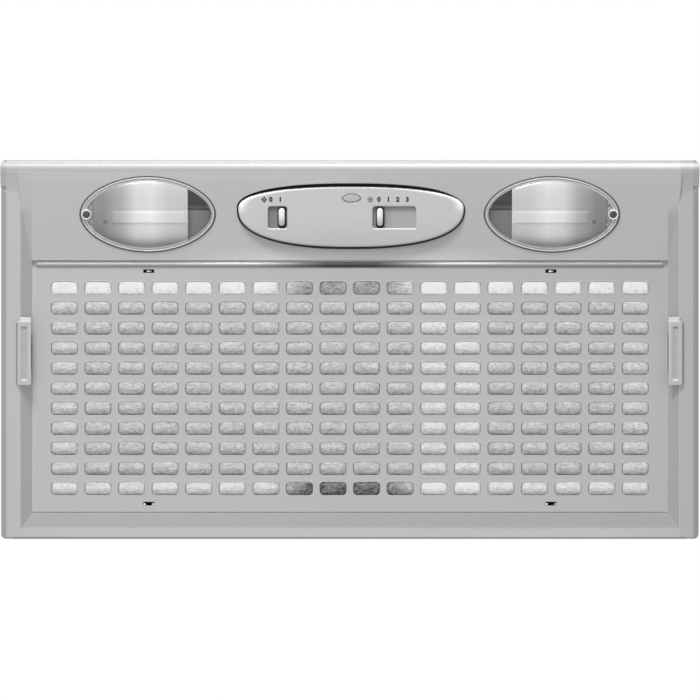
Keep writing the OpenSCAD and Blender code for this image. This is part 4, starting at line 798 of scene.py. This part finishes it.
def cut_lines(shape, lines):
    """Puts edges into a flat shape along lines of constant u or v."""
    for axis, at in lines:
        normal = (1, 0, 0) if axis == "u" else (0, 1, 0)
        point = (at, 0, 0) if axis == "u" else (0, at, 0)
        parts = shape.verts[:] + shape.edges[:] + shape.faces[:]
        bmesh.ops.bisect_plane(shape, geom=parts, plane_co=point, plane_no=normal, dist=0.001)


def link_shape(shape, name, finishes, angle=35, body="hood"):
    """Makes a piece of a shape, smooth but for edges sharper than the angle."""
    mesh = bpy.data.meshes.new(name)
    bmesh.ops.recalc_face_normals(shape, faces=shape.faces[:])
    shape.to_mesh(mesh)
    shape.free()
    for finish in finishes.split():
        mesh.materials.append(FINISHES[finish])
    for polygon in mesh.polygons:
        polygon.use_smooth = True
    mesh.set_sharp_from_angle(angle=radians(angle))
    return new_piece(name, mesh, body)


def add_rows(shape, rows, closed=False, centre=None):
    """Adds strips between closed lines of as many points, and a fan from a centre to the first."""
    made = [[shape.verts.new(spot) for spot in row] for row in rows]
    count = len(made[0])
    if centre is not None:
        middle = shape.verts.new(centre)
        for k in range(count):
            shape.faces.new((middle, made[0][k], made[0][(k + 1) % count]))
    for first, second in zip(made, made[1:] + (made[:1] if closed else [])):
        for k in range(count):
            after = (k + 1) % count
            shape.faces.new((first[k], second[k], second[after], first[after]))
    return made


def add_wall(shape, faces, drop, finish=0):
    """Adds a wall along the faces' free edges, reaching as far as a vector."""
    rim = [edge for edge in {edge for face in faces for edge in face.edges} if edge.is_boundary]
    rim.sort(key=lambda edge: edge.index)
    for part in bmesh.ops.extrude_edge_only(shape, edges=rim)["geom"]:
        if isinstance(part, bmesh.types.BMVert):
            part.co += drop
        elif isinstance(part, bmesh.types.BMFace):
            part.material_index = finish


def ring_line(x, y, radius, count=28):
    """Closed round line."""
    angles = [2 * pi * k / count for k in range(count)]
    return [(x + radius * cos(angle), y + radius * sin(angle)) for angle in angles]


def lamp_cover(side, name):
    """A lamp cover: flat rim, dome with a plain raised bar, flat outer end and clear inner end."""
    half_u, half_v = (half * COVER_SHARE / MM for half in LENS_HALF)
    edge = oval_line((0, 0), half_u, half_v, half_v, LENS_SHAPE, 168)
    falls = [oval_share(*point)[1] for point in edge]
    dome = [0.08 * k for k in range(1, 9)] + [point[0] for point in LENS_DOME[3:]]
    rows = [[(share, RIM_WIDTH * fall) for fall in falls] for share in dome]
    rows += [[(1, distance * fall) for fall in falls] for distance, _ in LENS_RIM[-2::-1]]
    shape = bmesh.new()
    rings = [
        [(u * share * (1 - part), v * share * (1 - part), 0) for (u, v), (share, part) in zip(edge, row)]
        for row in rows
    ]
    add_rows(shape, rings, centre=(0, 0, 0))
    lines = [("u", CHORD_U - 1.0), ("u", CHORD_U - 0.7), ("u", CHORD_U), ("u", CHORD_U + 0.25)]
    lines += [("u", CLEAR_U), ("v", -7.9), ("v", -5.6), ("v", -3.3)]
    for axis, (low, high) in (("u", BAR_U), ("v", BAR_V)):
        lines += [(axis, at) for at in (low, low + 0.55, low + 1.1, high - 1.1, high - 0.55, high)]
    cut_lines(shape, lines)
    for face in shape.faces:
        u, v, _ = face.calc_center_median()
        share, fall = oval_share(u / COVER_SHARE, v / COVER_SHARE)
        face.material_index = 1 if u > CLEAR_U and share < 1 - 2.2 * fall else 0
    for vert in shape.verts:
        u, v = vert.co.x, vert.co.y
        height = lens_height(u / COVER_SHARE, v / COVER_SHARE)
        if hypot(u - HUB_U, v) < 3.6:
            height = min(height, -0.9)
        vert.co = on_ramp(side, u, v, height)
    add_wall(shape, shape.faces[:], Vector((0, -sin(RAMP_TILT), cos(RAMP_TILT))) * 1.1 * MM)
    cover = link_shape(shape, f"{name}_lens_cover", "lens lens_clear", 40)
    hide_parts(f"{name}_lens")
    # A dark flat band round the cover's edge: painted shadow.
    shape = bmesh.new()
    add_rows(shape, [[on_ramp(side, u, v, -0.12) for u, v in moved_in(edge, far)] for far in (0.2, -0.75)])
    link_shape(shape, f"{name}_lens_gap_shadow", "ring")


def lamp_shield(side, name):
    """Bent sheet behind the clear end, which leaves the front half of the lamp open."""
    shape = bmesh.new()
    spots = [(24, -2.6), (46.6, -2.6), (46.6, 13), (38, 20), (24, 24)]
    back, face = add_rows(shape, [[on_ramp(side, u, v, w) for u, v in spots] for w in (3.9, 3.2)])
    shape.faces.new(face)
    shape.faces.new(back[::-1])
    drop = [shape.verts.new(on_ramp(side, u, v, 14)) for u, v in spots[:2]]
    shape.faces.new((back[0], back[1], drop[1], drop[0]))
    link_shape(shape, f"{name}_lamp_shield", "lamp_sheet", 30)


def screw_heads(spots):
    """The covers' domed screw heads with a cross recess, each seated at a matrix."""
    shape = bmesh.new()
    rings, count = 13, 48
    radius, height = 2.6 * MM, 0.9 * MM
    recess = 0.55 * height
    for matrix in spots:
        rows = []
        for share in [ring / rings for ring in range(1, rings + 1)]:
            row = []
            for x, y in ring_line(0, 0, share, count):
                rise = height * (1 - 0.3 * share**2) if share < 0.999 else height * 0.45
                if max(abs(x), abs(y)) < 0.58 and min(abs(x), abs(y)) < 0.17:
                    rise -= recess
                row.append(matrix @ Vector((x * radius, y * radius, rise)))
            rows.append(row)
        rows.append([matrix @ Vector((x, y, 0)) for x, y in ring_line(0, 0, radius, count)])
        add_rows(shape, rows, centre=matrix @ Vector((0, 0, height - recess)))
    # Their near-black steel is painted shade of a deep recess.
    heads = link_shape(shape, "lens_screw_heads", "dark_screw", 45)
    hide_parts("lens_screws")


def make_lamps():
    """Both lamp covers with their shields, screws and the bosses round these."""
    spots = []
    for side, name in SIDES:
        lamp_cover(side, name)
        lamp_shield(side, name)
        place = Matrix.Translation(on_ramp(side, HUB_U, 0, -0.9))
        tilt = Matrix.Rotation(pi + RAMP_TILT, 4, "X")
        spots.append(place @ tilt @ Matrix.Rotation(radians(20 * side), 4, "Z"))
    screw_heads(spots)
    shape = bmesh.new()
    profile = ((2.7, 0.0), (2.85, 1.5), (3.2, 1.75), (3.6, 1.6), (3.85, 1.1), (3.9, 0.0))
    for matrix in spots:
        rows = []
        for radius, height in profile:
            line = ring_line(0, 0, radius, 48)
            rows.append([matrix @ (Vector((x, y, height)) * MM) for x, y in line])
        add_rows(shape, rows)
    link_shape(shape, "lens_screw_bosses", "boss", 50)


def oval_line(middle, half, front, rear, shape, count=180):
    """Closed line between an ellipse and a rectangle, with its own reach to front and rear."""
    line = []
    for c, s in ring_line(0, 0, 1, count):
        reach = front if s < 0 else rear
        x = half * copysign(abs(c) ** (2 / shape), c)
        line.append((middle[0] + x, middle[1] + reach * copysign(abs(s) ** (2 / shape), s)))
    return line


def rounded_line(x0, x1, y0, y1, radius, steps=6):
    """Closed rectangle with round corners."""
    x0, x1, y0, y1 = x0 + radius, x1 - radius, y0 + radius, y1 - radius
    line = []
    for x, y, start in ((x1, y0, -90), (x1, y1, 0), (x0, y1, 90), (x0, y0, 180)):
        for k in range(steps + 1):
            angle = radians(start + 90 * k / steps)
            line.append((x + radius * cos(angle), y + radius * sin(angle)))
    return line


def eye_line(middle, half_x, half_y, steps=18):
    """Closed pointed oval between two arcs."""
    radius = (half_x**2 + half_y**2) / (2 * half_y)
    spread = asin(half_x / radius)
    line = []
    for side in (-1, 1):
        for k in range(steps):
            angle = -side * spread * (2 * k / steps - 1)
            y = side * (radius * cos(angle) - radius + half_y)
            line.append((middle[0] + radius * sin(angle), middle[1] + y))
    return line


def moved_in(line, distance):
    """The same closed line moved inwards by a distance."""
    count = len(line)
    moved = []
    for k in range(count):
        (x0, y0), (x1, y1) = line[k - 1], line[(k + 1) % count]
        length = hypot(x1 - x0, y1 - y0)
        x, y = line[k]
        moved.append((x - (y1 - y0) / length * distance, y + (x1 - x0) / length * distance))
    return moved


def inside(x, y, line):
    """Whether a point lies within a closed line."""
    hit = False
    for (x0, y0), (x1, y1) in zip(line, line[1:] + line[:1]):
        if (y0 > y) != (y1 > y) and x < x0 + (x1 - x0) * (y - y0) / (y1 - y0):
            hit = not hit
    return hit


def rolled(radius, steps=6):
    """A quarter-round edge as pairs of distance from the edge and depth."""
    pairs = []
    for k in range(steps + 1):
        angle = pi / 2 * k / steps
        pairs.append((radius * (1 - cos(angle)), radius * (1 - sin(angle))))
    return pairs


def net(shape, outline, height, edge, holes=(), hole_edge=(), grid=2.5, wall=0.0, finish=0, place=None):
    """Adds a face of small triangles within an outline, less its holes, in mm.

    height gives its level at a point; edge and hole_edge are pairs of distance and depth."""
    points, links, depths = [], [], []
    inner = []
    for number, line in enumerate([outline, *holes]):
        pairs = hole_edge if number else edge
        for distance, depth in pairs:
            moved = moved_in(line, -distance if number else distance)
            base = len(points)
            points.extend(Vector(point) for point in moved)
            depths.extend([depth] * len(moved))
            links.extend((base + k, base + (k + 1) % len(moved)) for k in range(len(moved)))
        inner.append(moved_in(line, -pairs[-1][0] - 0.2 if number else pairs[-1][0] + 0.2))
    xs, ys = [p[0] for p in outline], [p[1] for p in outline]
    for i in range(1, int((max(xs) - min(xs)) / grid) + 1):
        for j in range(1, int((max(ys) - min(ys)) / grid) + 1):
            x, y = min(xs) + i * grid, min(ys) + j * grid
            if inside(x, y, inner[0]) and not any(inside(x, y, line) for line in inner[1:]):
                points.append(Vector((x, y)))
                depths.append(0.0)
    spots, _, faces, sources, _, _ = delaunay_2d_cdt(points, links, [], 0, 1e-6)
    verts = []
    for spot, source in zip(spots, sources):
        z = height(spot.x, spot.y) + (depths[source[0]] if source else 0.0)
        where = place(spot.x, spot.y, z) if place else Vector((spot.x, spot.y, z)) * MM
        verts.append(shape.verts.new(where))
    made = []
    for corners in faces:
        x = sum(spots[k].x for k in corners) / len(corners)
        y = sum(spots[k].y for k in corners) / len(corners)
        if inside(x, y, outline) and not any(inside(x, y, hole) for hole in holes):
            face = shape.faces.new([verts[k] for k in corners])
            face.material_index = finish
            made.append(face)
    bmesh.ops.delete(shape, geom=[vert for vert in verts if not vert.link_faces], context="VERTS")
    if wall:
        add_wall(shape, made, Vector((0, 0, wall * MM)), finish)


def add_block(shape, low, high, finish=0):
    """Adds a closed box between two corners in mm."""
    spots = [(x, y, z) for x in (low[0], high[0]) for y in (low[1], high[1]) for z in (low[2], high[2])]
    verts = [shape.verts.new(Vector(spot) * MM) for spot in spots]
    for corners in ((0, 1, 3, 2), (4, 6, 7, 5), (0, 4, 5, 1), (2, 3, 7, 6), (0, 2, 6, 4), (1, 5, 7, 3)):
        shape.faces.new([verts[k] for k in corners]).material_index = finish


def add_band(shape, inner, outer, level, wall=0.0):
    """Adds a ring between two closed lines of as many points, in mm, at the level of each point."""
    lines = [(inner, 0.0), (outer, 0.0)]
    if wall:
        lines += [(outer, wall), (inner, wall)]
    rows = [[Vector((x, y, level(x, y) + depth)) * MM for x, y in line] for line, depth in lines]
    add_rows(shape, rows, closed=bool(wall))


def plate_level(x, y):
    """Level of the gently domed control plate, in mm."""
    return FACE_Z / MM + 0.0016 * max(0.0, y + 101) ** 2 + 0.00003 * (x - PLATE_MIDDLE[0]) ** 2


def make_control_plate():
    """The silver plate with its rolled edge and windows, and the near-black band round it, a painted shadow
    in the gap.
    """
    outline = oval_line(PLATE_MIDDLE, *PLATE_REACH, PLATE_SHAPE)
    holes = [
        rounded_line(*window, WINDOW_Y - WINDOW_HALF, WINDOW_Y + WINDOW_HALF, 2.0)
        for window in (LIGHT_WINDOW, SPEED_WINDOW)
    ]
    holes.append(eye_line((EYE_X, EYE_Y), *EYE_HALF))
    shape = bmesh.new()
    net(shape, outline, plate_level, rolled(1.5), holes, rolled(0.8, 4), 3.0, 1.9)
    for x in (-62, 62):
        for y in (-12.25, 12.25):
            spot = Matrix.Translation(Vector((PLATE_MIDDLE[0] + x, WINDOW_Y + y, -3.2)) * MM)
            post = {"radius1": 2.5 * MM, "radius2": 2.3 * MM, "depth": 8.4 * MM, "matrix": spot}
            bmesh.ops.create_cone(shape, cap_ends=True, segments=24, **post)
    plate = link_shape(shape, "control_face", "plate", 40)
    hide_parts("control_plate")

    half, front, rear = PLATE_REACH
    opening = oval_line(PLATE_MIDDLE, half + SIDE_GAP, front + FRONT_GAP, rear + SIDE_GAP, PLATE_SHAPE)
    # A near-black band in the gap round the plate: painted shadow.
    shape = bmesh.new()
    shadow_outer = moved_in(opening, 0.03)
    add_band(shape, moved_in(outline, 0.3), shadow_outer, lambda x, y: FACE_Z / MM + 1.5, 4.2)
    link_shape(shape, "plate_gap_shadow", "gap", 40)

    around = []
    for x, y in opening:
        dx, dy = x - OPENING_MIDDLE[0], y - OPENING_MIDDLE[1]
        far = hypot(dx, dy)
        reach = OPENING_REACH[1] if dy < 0 else OPENING_REACH[2]
        share = (abs(dx / far / OPENING_REACH[0])) ** OPENING_SHAPE + (abs(dy / far / reach)) ** OPENING_SHAPE
        grown = max(share ** (-1 / OPENING_SHAPE) + 0.7, far + 0.5) / far
        around.append((OPENING_MIDDLE[0] + dx * grown, OPENING_MIDDLE[1] + dy * grown))
    shape = bmesh.new()
    add_band(shape, opening, around, lambda x, y: ramp_z(y * MM) / MM - 0.03, 0.5)
    link_shape(shape, "plate_surround", "frame", 40)


def make_indicator():
    """Domed eye-shaped lens in the plate's third opening."""
    outline = eye_line((EYE_X, EYE_Y), EYE_HALF[0] - 0.35, EYE_HALF[1] - 0.2)

    def level(x, y):
        return FACE_Z / MM - 0.55 + 0.07 * (y - EYE_Y) ** 2 + 0.006 * (x - EYE_X) ** 2

    shape = bmesh.new()
    net(shape, outline, level, [(0, 0.45), (0.15, 0.2), (0.35, 0.06), (0.6, 0.0)], grid=0.8, wall=1.8)
    lens = link_shape(shape, "indicator_eye", "eye", 50)
    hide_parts("indicator_lens")


def make_knob(name, x, shutter, floor):
    """Slide knob: a silver cap on a dark foot, whose black border beside the cap is painted shade, on the
    shutter that keeps its window closed.
    """
    face = FACE_Z / MM
    shape = bmesh.new()
    # The foot's near-black border beside the cap is painted shade.
    foot = rounded_line(x - 3.0, x + 3.3, WINDOW_Y - 8.0, WINDOW_Y + 8.0, 2.6)
    net(shape, foot, lambda u, v: face - 0.1, rolled(0.5, 3), grid=1.5, wall=1.9, finish=1)
    cap = rounded_line(x - 2.3, x + 2.3, WINDOW_Y - 7.0, WINDOW_Y + 6.7, 2.2)

    def level(u, v):
        return face - 1.35 + 0.014 * (v - WINDOW_Y + 2) ** 2 + 0.02 * (u - x) ** 2

    net(shape, cap, level, rolled(0.9, 5), grid=1.0, wall=0.6)
    low, high = (shutter[0], WINDOW_Y - 9.1, face + 2.3), (shutter[1], WINDOW_Y + 9.1, face + 3.2)
    add_block(shape, low, high, 2)
    add_block(shape, (x - 1.5, WINDOW_Y - 4, face + 3.1), (x + 1.5, WINDOW_Y + 4, face + 6.5), 2)
    knob = link_shape(shape, f"{name}_cap", f"knob gap {floor}", 45, name)
    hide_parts(name)


def make_marks():
    """Digits and signs beside the two windows, on the plate: the signs are rings with flat petals."""
    digits = {"0": (-59.4, 21.8), "1": (-52.3, 29.0), "2": (36.0,), "3": (43.2,)}
    for digit, places in digits.items():
        for k, x in enumerate(places):
            curve = bpy.data.curves.new(f"digit_{digit}_{k}", "FONT")
            curve.body = digit
            curve.size = 4.7 * MM
            curve.offset = 0.3 * MM
            curve.align_x = curve.align_y = "CENTER"
            curve.extrude = 0.01 * MM
            mark = linked(curve.name, curve)
            mark.rotation_euler = (pi, 0, 0)
            mark.location = (x * MM, MARKS_Y * MM, plate_level(x, MARKS_Y) * MM - 0.03 * MM)
            dress(mark, "ink")
            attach(mark, "hood")
    signs = (
        ("lamp_sign", -64.4, (0.6, 1.4), 4, 0, (1.1, 2.2, 1.3)),
        ("fan_sign", 15.3, (1.6, 2.0), 3, pi / 2, (0.1, 1.45, 0.95)),
    )
    for name, x, radii, count, start, (near, far, width) in signs:
        shape = bmesh.new()
        z = plate_level(x, MARKS_Y) - 0.05
        add_band(shape, *(ring_line(x, MARKS_Y, radius) for radius in radii), lambda u, v: z)
        for k in range(count):
            angle = start + 2 * pi / count * k
            along = (cos(angle), sin(angle))
            spots = []
            for c, s in ring_line(0, 0, 1, 12):
                u, v = (near + far) / 2 + (far - near) / 2 * c, width / 2 * s
                spot = (x + along[0] * u - along[1] * v, MARKS_Y + along[1] * u + along[0] * v, z)
                spots.append(shape.verts.new(Vector(spot) * MM))
            shape.faces.new(spots)
        link_shape(shape, name, "ink")


def make_seam_lips():
    """Thin lips of the frame in the seams beside and behind the grille, paler than the frame: painted light
    where the seams lie in shade.
    """
    shape = bmesh.new()
    for side in (-1, 1):
        x0, x1 = sorted((side * 239.22, side * 239.65))
        add_block(shape, (x0, -64, -1.3), (x1, 123.6, -0.4))
    add_block(shape, (-239.2, 123.32, -1.5), (239.2, 123.7, -1.28))
    link_shape(shape, "seam_lips", "lip")


def make_catch(side, name):
    """Grille catch's cap with rolled edges and a scooped finger groove, over the fixed one."""
    middle_x = CATCH_X + CATCH_W / 2
    front, rear = CATCH_Y - CATCH_LEN / 2, CATCH_Y + CATCH_LEN / 2
    outline = rounded_line(CATCH_X, CATCH_X + CATCH_W, front, rear, 1.3)

    def level(x, y):
        scoop = max(0.0, 1 - ((x - middle_x) / 2.6) ** 2)
        run = min(1.0, max(0.0, (y - front - 4.3) / 0.9)) * min(1.0, max(0.0, (rear - 3.5 - y) / 1.8))
        return -11.36 + 0.88 * scoop**1.2 * run

    def mirrored(x, y, z):
        return Vector((side * x, y, z)) * MM

    shape = bmesh.new()
    net(shape, outline, level, rolled(0.8, 5), grid=0.7, place=mirrored, wall=1.4)
    base = rounded_line(CATCH_X + 0.1, CATCH_X + CATCH_W - 1.9, front - 2.9, rear - 1, 0.6, 3)
    net(shape, base, lambda x, y: -10.0, rolled(0.6, 3), grid=3.0, place=mirrored, wall=0.5)
    # A dark strip beside the cap's outer side: painted shadow.
    x0, x1 = sorted((side * (CATCH_X + CATCH_W - 0.6), side * (CATCH_X + CATCH_W + 0.7)))
    add_block(shape, (x0, front + 1.5, -9.2), (x1, rear - 1, -8.8), 1)
    link_shape(shape, f"{name}_catch_cap", "cap shade", 40, f"{name}_catch")


def make_catch_leaf(side, name):
    """Bowed leaf behind a catch: a copy of the model's spring, with a mesh of its own."""
    node = f"{name}_catch_spring"
    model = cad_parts[node]
    leaf = model.copy()
    leaf.data = model.data.copy()
    leaf.name = f"{name}_catch_leaf"
    bpy.context.scene.collection.objects.link(leaf)
    leaf.parent = None
    leaf.matrix_world = model.matrix_world.copy()
    dress(leaf, "spring")
    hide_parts(node)
    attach(leaf, "hood")
    stop = side * LEAF_STOP
    depth = abs(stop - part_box(node)[0 if side > 0 else 1][0])
    keep = (depth - LEAF_PRESS) / depth
    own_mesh(leaf)


def make_studio():
    """White surroundings, soft lamps, a pale floor far below and the camera under the hood."""
    scene = bpy.context.scene
    scene.view_settings.view_transform = "Standard"
    f = Finish("studio", "World")
    seen = f.node("LightPath", out="Is Camera Ray")
    for kind in ("Is Glossy Ray", "Is Transmission Ray"):
        seen = f.sum("MAXIMUM", seen, f.node("LightPath", out=kind))
    strength = f.node("MapRange", inputs={"Value": seen, "To Min": AMBIENT})
    sky = f.node("Background", inputs={"Color": (1, 1, 1, 1), "Strength": strength})
    scene.world = f.done(sky)

    for name, place, size, watts in LAMPS:
        data = bpy.data.lights.new(name, "AREA")
        data.shape = "DISK"
        data.size = size
        data.energy = watts
        lamp = linked(name, data)
        lamp.location = place
        lamp.rotation_euler = (LAMPS_AIM - Vector(place)).to_track_quat("-Z", "Y").to_euler()
        lamp.visible_camera = False

    floor_mesh = bpy.data.meshes.new("floor")
    shape = bmesh.new()
    bmesh.ops.create_grid(shape, x_segments=8, y_segments=8, size=20)
    shape.to_mesh(floor_mesh)
    shape.free()
    floor = linked("floor", floor_mesh)
    floor.location = (0, 0, -4.3)
    f = Finish("floor_pale")
    mottle = f.cloud(1.5, 3)
    matt = f.shader(Base_Color=f.grey(0.86 + (mottle - 0.5) * 0.02), Roughness=0.8)
    glow = f.node("Emission", inputs={"Strength": 1.0})
    camera_ray = f.node("LightPath", out="Is Camera Ray")
    floor_mesh.materials.append(
        f.done(f.node("MixShader", inputs={0: camera_ray * 0.75, 1: matt, 2: glow}))
    )

    data = bpy.data.cameras.new("camera")
    camera = linked("camera", data)
    scene.camera = camera
    width = 526.2 * MM
    plane_z = -8.5 * MM
    camera.location = (0.11 * MM, 0.38 * MM, -3.2)
    camera.rotation_euler = (pi, 0, 0)
    data.sensor_width = 36
    data.lens = 36 * (plane_z - camera.location.z) / width
    data.clip_start = 0.1
    data.clip_end = 60


dress_nodes()
make_fleece()
make_lamps()
make_control_plate()
make_indicator()
make_knob("light_knob", LIGHT_KNOB_X, (LIGHT_WINDOW[0] - 1, LIGHT_WINDOW[1] + KNOB_STEP + 1), "shutter_dark")
make_knob("speed_knob", SPEED_KNOB_X, (SPEED_WINDOW[0] - 3 * KNOB_STEP - 1, SPEED_WINDOW[1] + 1), "shutter")
make_marks()
for side, name in SIDES:
    make_catch(side, name)
for side, name in SIDES:
    make_catch_leaf(side, name)
make_seam_lips()
make_studio()
